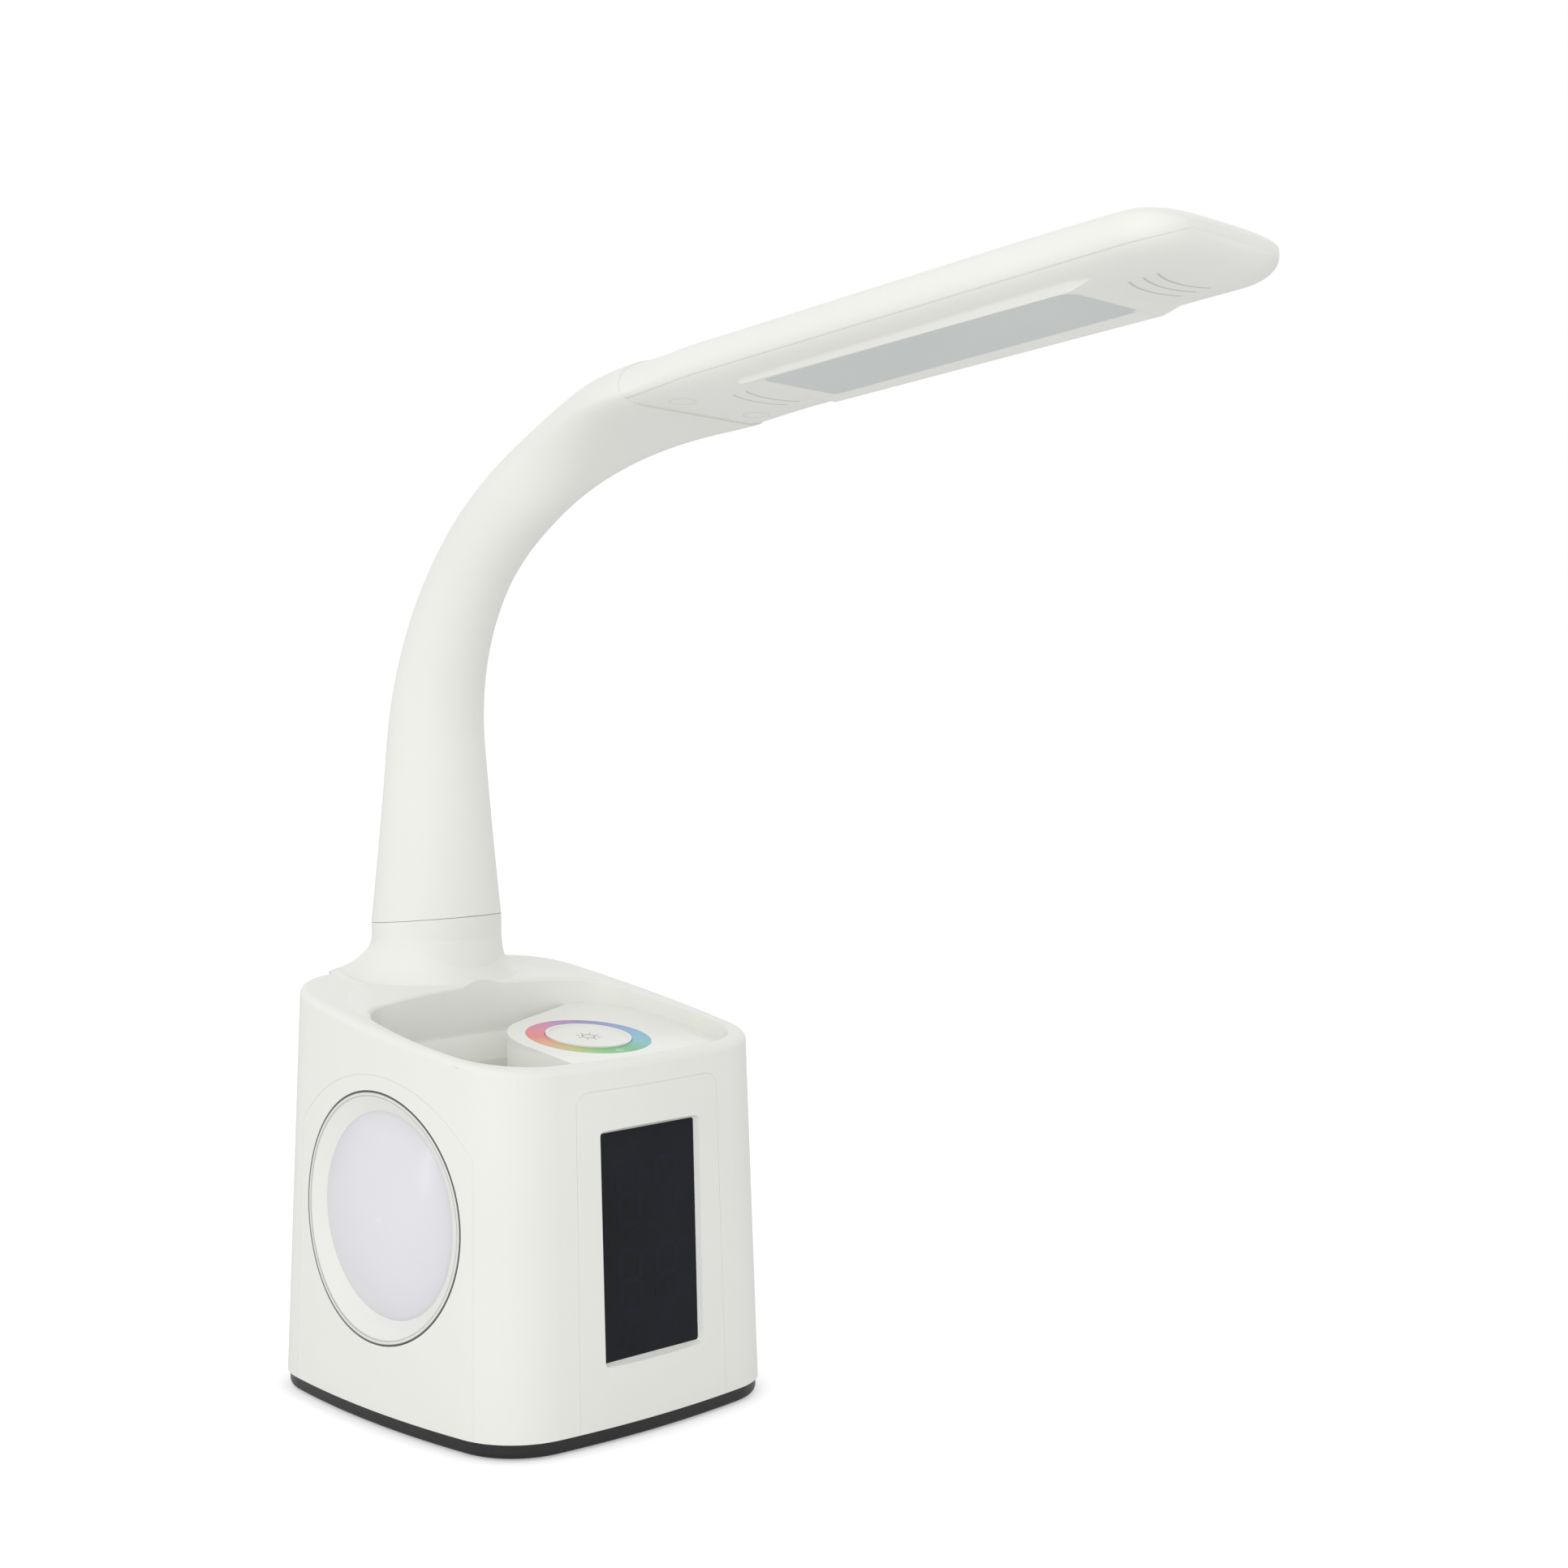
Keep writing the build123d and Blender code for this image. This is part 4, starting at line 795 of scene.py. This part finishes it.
def wall_points(node_name, flat, towards, axes):
    """Points on a CAD piece's outer side, found by rays along an axis at flat places."""
    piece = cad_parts[node_name]
    places = [piece.matrix_world @ vertex.co for vertex in piece.data.vertices]
    tree = BVHTree.FromPolygons(places, [list(face.vertices) for face in piece.data.polygons])
    starts = np.zeros((len(flat), 3))
    starts[:, list(axes)] = flat
    starts -= np.asarray(towards) * PROBE_REACH
    return np.array([tree.ray_cast(Vector(start), Vector(towards))[0] for start in starts])


def ledge_strip(name, flat, node_name, towards, axes):
    """A small rectangle carried along a line of flat places, square to the line and to the wall."""
    along = np.gradient(flat, axis=0)
    along /= np.linalg.norm(along, axis=1, keepdims=True)
    side = np.stack([-along[:, 1], along[:, 0]], axis=1)
    middle = flat.mean(axis=0)
    inward = np.where(((middle - flat) * side).sum(axis=1, keepdims=True) > 0, side, -side)
    wall = wall_points(node_name, flat + inward * PROBE_INSET, towards, axes)
    depth_axis = 3 - axes[0] - axes[1]
    corners = []
    for shift, sink in ((-1, LEDGE_SINK), (1, LEDGE_SINK), (1, LEDGE_DEPTH), (-1, LEDGE_DEPTH)):
        points = np.zeros((len(flat), 3))
        points[:, list(axes)] = flat + side * shift * LEDGE_WIDTH / 2
        points[:, depth_axis] = wall[:, depth_axis] + sink * towards[depth_axis]
        corners.append(points)
    strip = closed_tube(name, np.stack(corners, axis=1), panel_white, smooth_sides=False)
    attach(strip, "base")
    return strip


def front_seam():
    """The front panel's outline as x and z: up one side, round two corners and down the other side."""
    slope = (PANEL_HALF_WIDTHS[1] - PANEL_HALF_WIDTHS[0]) / (PANEL_TOP - PANEL_FOOT)
    heights = np.linspace(PANEL_BOTTOM, PANEL_TOP - PANEL_CORNER, 30)
    half = PANEL_HALF_WIDTHS[0] + slope * (heights - PANEL_FOOT) + SEAM_HALF
    turn = np.linspace(0, pi / 2, 14)[1:-1]
    corner_x = half[-1] - PANEL_CORNER + PANEL_CORNER * np.cos(turn)
    corner_z = PANEL_TOP - PANEL_CORNER + (PANEL_CORNER + SEAM_HALF) * np.sin(turn)
    top_x = np.linspace(half[-1] - PANEL_CORNER, -half[-1] + PANEL_CORNER, 20)
    top_z = np.full_like(top_x, PANEL_TOP + SEAM_HALF)
    x = np.concatenate([half, corner_x, top_x, -corner_x[::-1], -half[::-1]])
    z = np.concatenate([heights, corner_z, top_z, corner_z[::-1], heights[::-1]])
    return np.stack([x, z], axis=1)


def side_seam():
    """The side panel's outline as y and z: up one side, over an arc and down the other side."""
    radius = SIDE_ARCH + SEAM_HALF
    half = SIDE_HALF_WIDTH + SEAM_HALF
    middle = SIDE_TOP - SIDE_ARCH
    spring = middle + np.sqrt(radius ** 2 - half ** 2)
    heights = np.linspace(PANEL_BOTTOM, spring, 30)[:-1]
    straight = half + SIDE_TAPER * (spring - heights) / (spring - PANEL_FOOT)
    reach = np.arcsin(half / radius)
    turn = np.linspace(reach, -reach, 60)
    y = np.concatenate([straight, radius * np.sin(turn), -straight[::-1]])
    z = np.concatenate([heights, middle + radius * np.cos(turn), heights[::-1]])
    return np.stack([NIGHT_Y + y, z], axis=1)


front_ledge = ledge_strip("front_panel_ledge", front_seam(), "front_panel", INTO_FRONT, (0, 2))
side_ledge = ledge_strip("side_panel_ledge", side_seam(), "side_panel", INTO_SIDE, (1, 2))
print("ledge faces:", len(front_ledge.data.polygons), len(side_ledge.data.polygons))

# %% [markdown]
# The night light's dish
#
# In the photo the dish is a plain cone from the clear ring's edge down to the dome. The cone is a closed
# cup of rings round the dome, and rays find the heights of its two edges. Blender's own cone would need
# those heights too, and its back would have to be shaped after that.

# %% The cone between the clear ring and the dome
CONE_EDGE_SHARE = 0.972
CONE_OVERLAP = 0.0002
CONE_LIFT = CONE_OVERLAP / 4
CUP_DEPTH = 0.006
CUP_ANGLE = radians(30.0)


def night_cone():
    """Rings of a cup: its back, its front edge, the dome's edge and a floor behind the dome."""
    low, high = (np.array(corner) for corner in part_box("night_light_ring"))
    dome_low, dome_high = (np.array(corner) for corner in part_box("night_light_dome"))
    middle = ((low + high) / 2)[1:]
    outer = (high - low)[1] / 2 * CONE_EDGE_SHARE
    inner = (dome_high - dome_low)[1] / 2 - CONE_OVERLAP
    angle = -np.linspace(0, 2 * pi, ROUND_STEPS, endpoint=False)
    circle = np.stack([np.cos(angle), np.sin(angle)], axis=1)
    front = wall_points("night_light_ring", middle + outer * circle, INTO_SIDE, (1, 2))
    bottom = wall_points("night_light_dome", middle + (inner - CONE_OVERLAP) * circle, INTO_SIDE, (1, 2))
    front[:, 0] -= CONE_LIFT
    inward = np.array([CUP_DEPTH, 0.0, 0.0])
    rows = np.stack([front + 2 * inward, front, bottom, bottom + inward])
    cone = closed_tube("night_cone", rows, panel_white)
    cone.data.set_sharp_from_angle(angle=CUP_ANGLE)
    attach(cone, "base")
    return cone


cone = night_cone()
cone_places = np.empty(3 * len(cone.data.vertices))
cone.data.vertices.foreach_get("co", cone_places)
print("night cone's whole depth, mm:", round(1000 * float(np.ptp(cone_places[::3])), 2))

# %% [markdown]
# The head's covers
#
# The head has its own frame: across, along to the tip, and up. Its covers are made again here, because
# the photo shows rounder sides, a lower tip and a bolder frame round the light than the CAD pieces have.
# Both halves of a section are superellipses of power three. Beside the neck they blend into the sleeve's
# form, an arch over a flat belly. The frame is a ridge with a slope on both sides of it. The
# vents and the plugs show as fine grey strips of painted shade, standing for the shade in their grooves. A
# subdivided box would round the frame's edges away, while heights from formulas keep them where they are
# wanted.

# %% The form of the head
COVER_GAP = 0.00006
HEAD_HALF_WIDTH = 0.029
TIP_HALF_WIDTH = 0.016
NOSE_START = 0.197
NOSE_LENGTH = 0.015
NOSE_TURN = radians(80.0)
NOSE_POWER = 0.6
FLAT_BELLY = 0.0029
BELLY_PLACES = (0.043, 0.190)
BELLY_DEPTHS = (0.0080, 0.0085)
ROUNDING = (0.014, 0.045)
WIDEST_HEIGHTS = (-0.0028, 0.0010)
CRESTS = (0.0143, 0.0073)
CREST_FALL = 0.10
FALL_START = 0.150
FALL_LENGTH = 0.050
SEAM_SHARE = 0.945
TOP_NOSE_POWER = 1.8
RIDGE_HALF_WIDTH = 0.0192
RIDGE_PLACES = (0.0545, 0.1751)
RIDGE_HEIGHTS = (-0.0073, -0.0084)
RIDGE_FLAT = 0.0005
LENS_INSET = 0.0041
RIDGE_CORNER = 0.0048
LENS_HEIGHTS = (-0.0064, -0.00685)
SIDE_STEEPNESS = 1.2
NECK_STEEPNESS = 0.5
TIP_STEEPNESS = 0.24

head_y, head_z, head_lean = (float(value) for value in neck_line(np.array(BEND_END)))
head_origin = np.array([0.0, head_y, head_z])
head_up = np.array([sin(END_TWIST), cos(END_TWIST) * cos(head_lean), cos(END_TWIST) * sin(head_lean)])
head_along = np.array([0.0, -sin(head_lean), cos(head_lean)])
head_across = np.cross(head_along, head_up)


def line_between(along, places, values):
    """The value on a straight line through two values at two places."""
    return values[0] + (values[1] - values[0]) * (along - places[0]) / (places[1] - places[0])


def nose_shape(along):
    """The half width and the share of the depth: constant, then round an ellipse to the tip."""
    turn = np.arcsin(np.clip((along - NOSE_START) / NOSE_LENGTH, 0, 1))
    width = TIP_HALF_WIDTH + (HEAD_HALF_WIDTH - TIP_HALF_WIDTH) * np.cos(turn)
    return width, np.cos(turn) ** NOSE_POWER


def rounding(along):
    """How far the section has turned from the sleeve's form into the head's: a smooth step."""
    share = np.clip((along - ROUNDING[0]) / (ROUNDING[1] - ROUNDING[0]), 0, 1)
    return share * share * (3 - 2 * share)


def widest_height(along):
    """The height at which the section is widest."""
    return WIDEST_HEIGHTS[0] + (WIDEST_HEIGHTS[1] - WIDEST_HEIGHTS[0]) * rounding(along)


def crest_rise(along):
    """The crest above the widest height: a parabola lowers it towards the tip and the nose shrinks it."""
    fall = CREST_FALL * np.clip((along - FALL_START) / FALL_LENGTH, 0, None) ** 2
    shrink = nose_shape(along)[1] ** TOP_NOSE_POWER
    return (CRESTS[0] + (CRESTS[1] - CRESTS[0]) * rounding(along)) * (1 - fall) * shrink


def belly_height(across, along):
    """The belly: flat between two quarter ellipses beside the neck, half a superellipse further on."""
    width, shrink = nose_shape(along)
    flat = FLAT_SHARES[1] * width
    past_flat = np.clip((np.abs(across) - flat) / (width - flat), 0, 1)
    flat_form = FLAT_BELLY * np.sqrt(1 - past_flat ** 2)
    inside = np.clip(1 - np.abs(across / width) ** 3, 0, 1)
    round_form = line_between(along, BELLY_PLACES, BELLY_DEPTHS) * np.cbrt(inside)
    return widest_height(along) - shrink * (flat_form + (round_form - flat_form) * rounding(along))


def under_height(across, along):
    """The underside's height: inside the ridge a slope to the light cover, outside a slope to the belly."""
    ridge = line_between(along, RIDGE_PLACES, RIDGE_HEIGHTS)
    lens = line_between(along, RIDGE_PLACES, LENS_HEIGHTS)
    from_side = RIDGE_HALF_WIDTH - np.abs(across)
    from_neck = along - RIDGE_PLACES[0]
    from_tip = RIDGE_PLACES[1] - along
    from_end = np.minimum(from_neck, from_tip)
    corner = np.hypot(np.clip(RIDGE_CORNER - from_side, 0, None), np.clip(RIDGE_CORNER - from_end, 0, None))
    inset = np.minimum(RIDGE_CORNER - corner, np.minimum(from_side, from_end))
    share = np.clip((inset - RIDGE_FLAT) / (LENS_INSET - RIDGE_FLAT), 0, 1)
    fall = SIDE_STEEPNESS * np.clip(-from_side, 0, None) + NECK_STEEPNESS * np.clip(-from_neck, 0, None)
    fall = fall + TIP_STEEPNESS * np.clip(-from_tip, 0, None)
    outside = np.minimum(belly_height(across, along), ridge + fall)
    return np.where(inset >= 0, ridge + (lens - ridge) * share, outside)


def head_points(across, along, height):
    """Points from their places across, along and up in the head's frame."""
    places = np.stack(np.broadcast_arrays(across, along, height), axis=-1)
    return head_origin + places @ np.stack([head_across, head_along, head_up])


def under_points(flat, lift):
    """Points over the head's underside."""
    height = under_height(-flat[:, 0], flat[:, 1]) - lift
    return head_points(-flat[:, 0], flat[:, 1], height)


print("the head's frame starts at, mm:", np.round(head_origin * 1000, 1))

# %% The lower cover, the light cover and the fine lines
COVER_START = HEAD_START + SCARF_LINE
SCARF_FADE = 0.010
FINE_STEP = 0.0004
BROAD_STEP = 0.002
LID_SHARE = 0.6
SHARP_ANGLE = radians(40.0)
LENS_THICKNESS = 0.001
SLOT_HALF_LENGTH = 0.0109
SLOT_BOW = 0.0022
GROOVE_WIDTH = 0.0007
GROOVES = (0.0401, 0.0455, 0.1852, 0.1898, 0.1942)
PLUG_PLACES = ((0.015, 0.025), (-0.015, 0.025))
PLUG_RADIUS = 0.00395
PLUG_LINE = 0.00016


def stations(stops, steps):
    """Places from stop to stop, about a step apart."""
    places = [np.array(stops[:1])]
    for start, end, step in zip(stops, stops[1:], steps):
        places.append(np.linspace(start, end, max(2, int((end - start) / step) + 1))[1:])
    return np.concatenate(places)


def rows_along():
    """Places along the head, close together where the frame turns and round the nose."""
    neck_end, tip_end = RIDGE_PLACES
    stops = (COVER_START, neck_end - LENS_INSET, neck_end, neck_end + RIDGE_FLAT, neck_end + LENS_INSET,
             tip_end - LENS_INSET, tip_end - RIDGE_FLAT, tip_end, tip_end + 3 * LENS_INSET, NOSE_START)
    steps = 2 * (BROAD_STEP, FINE_STEP, FINE_STEP, FINE_STEP) + (BROAD_STEP,)
    nose = NOSE_START + NOSE_LENGTH * np.sin(np.linspace(0, NOSE_TURN, 40)[1:])
    return np.concatenate([stations(stops, steps), nose])[:, None]


def cover_tube(name, across, along, height):
    """A cover from rows of places and heights, slid along near the neck to start on the slanting cut."""
    slant = np.clip(1 - (along - COVER_START) / SCARF_FADE, 0, 1)
    slid = along - slant * height * np.tan(SCARF_TILT)
    cover = closed_tube(name, head_points(across, slid, height), shell_white)
    cover.data.set_sharp_from_angle(angle=SHARP_ANGLE)
    return cover


def lower_cover():
    """Across the underside from seam to seam and back over a flat lid."""
    lens_half = RIDGE_HALF_WIDTH - LENS_INSET
    foot_half = RIDGE_HALF_WIDTH + 5 * FINE_STEP
    ridge_stops = (RIDGE_HALF_WIDTH - RIDGE_FLAT, RIDGE_HALF_WIDTH, foot_half)
    stops = (0.0, lens_half, *ridge_stops, SEAM_SHARE * HEAD_HALF_WIDTH)
    steps = (BROAD_STEP, FINE_STEP, FINE_STEP, FINE_STEP, FINE_STEP)
    side = stations(stops, steps) / HEAD_HALF_WIDTH
    along = rows_along()
    width = nose_shape(along)[0]
    lower = width * np.concatenate([side[::-1], -side[1:]])
    lid = width * np.array([-LID_SHARE, LID_SHARE])
    seam = belly_height(SEAM_SHARE * width, along)
    height = np.concatenate([under_height(lower, along), np.repeat(seam, 2, axis=1)], axis=1)
    return cover_tube("lower_cover", np.concatenate([lower, lid], axis=1), along, height)


def upper_cover():
    """From the seam up one side, over the crest, down the other side and back over a flat floor."""
    along = rows_along()
    width = nose_shape(along)[0]
    shares = np.cbrt(1 - np.linspace(np.cbrt(1 - SEAM_SHARE ** 3), 0, 14)[:-1] ** 3)
    side = width * shares
    side_height = belly_height(side, along)
    turn = np.linspace(pi, 0, 49)
    arch = width * np.cos(turn)
    full = np.cbrt(1 - np.abs(np.cos(turn)) ** 3)
    bow = np.sin(turn) + (full - np.sin(turn)) * rounding(along)
    arch_height = widest_height(along) + crest_rise(along) * bow
    floor = width * np.array([LID_SHARE, -LID_SHARE])
    floor_height = np.repeat(side_height[:, :1], 2, axis=1)
    across = np.concatenate([-side, arch, side[:, ::-1], floor], axis=1)
    height = np.concatenate([side_height, arch_height, side_height[:, ::-1], floor_height], axis=1)
    height[:, [0, -1, -2, -3]] += COVER_GAP
    return cover_tube("upper_cover", across, along, height)


def light_cover():
    """The flat light cover that closes the frame's floor."""
    half = RIDGE_HALF_WIDTH - LENS_INSET
    along = np.array([[RIDGE_PLACES[0] + LENS_INSET], [RIDGE_PLACES[1] - LENS_INSET]])
    floor = line_between(along, RIDGE_PLACES, LENS_HEIGHTS) - PRINT_LIFT
    height = floor + np.array([0.0, 0.0, LENS_THICKNESS, LENS_THICKNESS])
    across = np.array([half, -half, -half, half])
    return closed_tube("light_cover", head_points(across, along, height), frosted, smooth_sides=False)


def groove_outlines():
    """The vents as painted shade: short grey strips of arcs whose middles lie nearest to the neck."""
    outlines = []
    radius = (SLOT_HALF_LENGTH ** 2 + SLOT_BOW ** 2) / (2 * SLOT_BOW)
    reach = np.arcsin(SLOT_HALF_LENGTH / radius)
    for place in GROOVES:
        middle = (0.0, place + radius)
        outlines += arc_strips(middle, radius, GROOVE_WIDTH, -pi / 2 - reach, -pi / 2 + reach, 16)
    return outlines


def plug_outlines():
    """A fine ring of painted shade round each plug, where its gap holds shade."""
    outlines = []
    for place in PLUG_PLACES:
        outlines += arc_strips(place, PLUG_RADIUS, PLUG_LINE, 0, 2 * pi, 48)
    return outlines


cover = lower_cover()
top = upper_cover()
lens = light_cover()
grooves = prism_mesh("vent_grooves", groove_outlines(), under_points, painted_groove_shade, "head")
plugs = prism_mesh("plug_rings", plug_outlines(), under_points, painted_groove_shade, "head")
for piece in (cover, top, lens):
    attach(piece, "head")
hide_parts("head_bottom_cover")
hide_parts("head_top_cover")
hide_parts("screw_plugs")
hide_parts("head_diffuser")
print("cover faces:", len(cover.data.polygons), len(top.data.polygons))

# %% [markdown]
# The collar's skirt
#
# Behind, the collar's flare ends just above the rim, where the real moulding runs on without a step.
# A thin skirt goes on from the flare's edge and lies down on the rim by a smooth step. It is a set of
# rings, so that it can stop short of the pocket and of the back wall.

# %% The skirt round the collar's foot
RIM_HEIGHTS = (0.118, 0.1374)
RIM_SAG = 0.001
FLARE_FOOT_Y = 0.04965
FLARE_FOOT_RADIUS = 0.0320
FLARE_LIFT = 0.0009
SKIRT_REACH = 0.0035
SKIRT_FRONT = 0.030
SKIRT_BACK = 0.0632
SKIRT_INNER = 0.016
SKIRT_SINK = 0.0002
SKIRT_THICKNESS = 0.004
SMALLEST_SINE = 0.0002


def rim_height(along):
    """The rim's height: a straight rise from front to back that sags by a parabola."""
    share = (along + BASE_DEPTHS[0]) / (BASE_DEPTHS[0] + BASE_DEPTHS[1])
    return RIM_HEIGHTS[0] + (RIM_HEIGHTS[1] - RIM_HEIGHTS[0]) * share - 4 * RIM_SAG * share * (1 - share)


def collar_skirt():
    """Rings from inside the flare out to the rim, kept between pocket and back wall, and one ring below."""
    angle = np.linspace(0, 2 * pi, ROUND_STEPS, endpoint=False)
    room = np.where(np.sin(angle) > 0, SKIRT_BACK - FLARE_FOOT_Y, FLARE_FOOT_Y - SKIRT_FRONT)
    furthest = room / np.maximum(np.abs(np.sin(angle)), SMALLEST_SINE)
    rows = []
    for reach in np.concatenate([[SKIRT_INNER - FLARE_FOOT_RADIUS], np.linspace(0, SKIRT_REACH, 12)]):
        radius = np.minimum(FLARE_FOOT_RADIUS + reach, furthest)
        share = np.clip(reach / SKIRT_REACH, 0, 1)
        lift = (FLARE_LIFT + SKIRT_SINK) * (1 - share * share * (3 - 2 * share)) - SKIRT_SINK
        y = FLARE_FOOT_Y + radius * np.sin(angle)
        rows.append(np.stack([radius * np.cos(angle), y, rim_height(y) + lift], axis=1))
    low = rows[-1].copy()
    low[:, 2] -= SKIRT_THICKNESS
    return closed_tube("collar_skirt", np.stack([low] + rows[::-1]), shell_white)


skirt = collar_skirt()
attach(skirt, "base")
print("skirt faces:", len(skirt.data.polygons))

# %% [markdown]
# The floor
#
# The lamp stands on a plain white floor. The floor is a large square that glows a little for the camera
# alone, so that it fades into the white background and still takes shadows.

# %% The floor
FLOOR_SIZE = 60.0
FLOOR_GLOW = 0.4


def floor_material():
    """A white floor that takes shadows and, seen by the camera, fades into the white background."""
    material, tree, shader = new_material("floor_white")
    tone = ramp(tree, noise(tree, 3.0), [(0.3, (0.84, 0.84, 0.84)), (0.7, (0.86, 0.86, 0.86))])
    tree.links.new(tone, shader.inputs["Base Color"])
    shader.inputs["Roughness"].default_value = 0.9
    shader.inputs["Specular IOR Level"].default_value = 0.0
    rays = add_node(tree, "ShaderNodeLightPath")
    lift = add_node(tree, "ShaderNodeMath", operation="MULTIPLY")
    lift.inputs[1].default_value = FLOOR_GLOW
    tree.links.new(rays.outputs["Is Camera Ray"], lift.inputs[0])
    shader.inputs["Emission Color"].default_value = (1.0, 1.0, 1.0, 1.0)
    tree.links.new(lift.outputs[0], shader.inputs["Emission Strength"])
    return material


def floor_piece():
    """A large square at table height."""
    half = FLOOR_SIZE / 2
    corners = [(-half, -half, 0), (half, -half, 0), (half, half, 0), (-half, half, 0)]
    mesh = bpy.data.meshes.new("floor")
    mesh.from_pydata(corners, [], [(0, 1, 2, 3)])
    mesh.materials.append(floor_material())
    piece = bpy.data.objects.new("floor", mesh)
    bpy.context.scene.collection.objects.link(piece)
    return piece


floor = floor_piece()
print("floor is in place")

# %% [markdown]
# The light
#
# The world gives an even light from all sides and shows as plain white to the camera. A large soft light
# stands in front on the left, where the lamp is brightest, and a low wide one lights the head from below.
# Neither is mirrored, so they leave no spots on the dome and the window. A small upright light further
# back on that side draws the streak on the dome. One bright lamp would throw hard shadows, which the
# photo doesn't have.

# %% World and lights
WORLD_STRENGTH = 0.78
LEFT_PLACE = (-1.4, -0.75, 0.80)
LEFT_AIM = (0.0, -0.05, 0.15)
LEFT_SIZE = (1.4, 1.0)
LEFT_POWER = 5.4
LOW_PLACE = (-1.0, -0.7, 0.08)
LOW_AIM = (0.0, -0.17, 0.33)
LOW_SIZE = (1.2, 0.16)
LOW_POWER = 0.9
STREAK_PLACE = (-0.64, 0.362, 0.07)
STREAK_AIM = (-0.058, -0.024, 0.081)
STREAK_SIZE = (0.03, 0.13)
STREAK_POWER = 0.04


def white_world():
    """An even light for the object, and plain white for camera, mirror and through-going rays."""
    world = bpy.data.worlds.new("studio")
    bpy.context.scene.world = world
    world.use_nodes = True
    tree = world.node_tree
    background = tree.nodes["Background"]
    background.inputs["Color"].default_value = (1.0, 1.0, 1.0, 1.0)
    rays = add_node(tree, "ShaderNodeLightPath")
    seen = add_node(tree, "ShaderNodeMath", operation="MAXIMUM")
    tree.links.new(rays.outputs["Is Camera Ray"], seen.inputs[0])
    tree.links.new(rays.outputs["Is Transmission Ray"], seen.inputs[1])
    mirrored = add_node(tree, "ShaderNodeMath", operation="MAXIMUM")
    tree.links.new(seen.outputs[0], mirrored.inputs[0])
    tree.links.new(rays.outputs["Is Glossy Ray"], mirrored.inputs[1])
    strength = add_node(tree, "ShaderNodeMapRange")
    strength.inputs["To Min"].default_value = WORLD_STRENGTH
    strength.inputs["To Max"].default_value = 1.0
    tree.links.new(mirrored.outputs[0], strength.inputs["Value"])
    tree.links.new(strength.outputs["Result"], background.inputs["Strength"])


def soft_light(name, place, aim, size, power, mirrored=True):
    """A rectangular soft light that looks at a point, with or without a mirror image."""
    light = bpy.data.lights.new(name, "AREA")
    light.shape = "RECTANGLE"
    light.size, light.size_y = size
    light.energy = power
    lamp = bpy.data.objects.new(name, light)
    direction = Vector(aim) - Vector(place)
    turn = direction.to_track_quat("-Z", "Y").to_matrix().to_4x4()
    lamp.matrix_world = Matrix.Translation(place) @ turn
    lamp.visible_glossy = mirrored
    bpy.context.scene.collection.objects.link(lamp)
    return lamp


white_world()
soft_light("left_soft", LEFT_PLACE, LEFT_AIM, LEFT_SIZE, LEFT_POWER, mirrored=False)
soft_light("low_soft", LOW_PLACE, LOW_AIM, LOW_SIZE, LOW_POWER, mirrored=False)
soft_light("streak", STREAK_PLACE, STREAK_AIM, STREAK_SIZE, STREAK_POWER)
print("world and lights are made")

# %% [markdown]
# The camera
#
# The camera stands where the photo was taken from: its place, direction and lens were fitted to the base
# as the photo shows it. Its axes are worked out from three angles and set as a matrix, which leaves no
# doubt about the order of the turns.

# %% The camera of the photograph
CLIP_START = 0.01
LENS_PX = 3163.261
PICTURE_PX = 1932
SENSOR_MM = 36.0
AZIMUTH = radians(-44.822)
ELEVATION = radians(3.900)
ROLL = radians(0.265)
EYE = np.array([-0.53166, -0.65683, 0.25885])


def photo_camera():
    """A camera at the fitted eye: its back axis from azimuth and elevation, turned by the roll."""
    back = np.array([sin(AZIMUTH) * cos(ELEVATION), -cos(AZIMUTH) * cos(ELEVATION), sin(ELEVATION)])
    level = np.array([cos(AZIMUTH), sin(AZIMUTH), 0.0])
    upright = np.cross(back, level)
    right = cos(ROLL) * level + sin(ROLL) * upright
    upward = -sin(ROLL) * level + cos(ROLL) * upright
    data = bpy.data.cameras.new("photo_camera")
    data.sensor_width = SENSOR_MM
    data.lens = LENS_PX / PICTURE_PX * SENSOR_MM
    data.clip_start = CLIP_START
    camera = bpy.data.objects.new("photo_camera", data)
    turn = np.eye(4)
    turn[:3, 0] = right
    turn[:3, 1] = upward
    turn[:3, 2] = back
    turn[:3, 3] = EYE
    camera.matrix_world = Matrix(turn.tolist())
    bpy.context.scene.collection.objects.link(camera)
    bpy.context.scene.camera = camera
    return camera


camera = photo_camera()
bpy.context.scene.view_settings.view_transform = "Standard"
print("camera lens, mm:", round(camera.data.lens, 2))
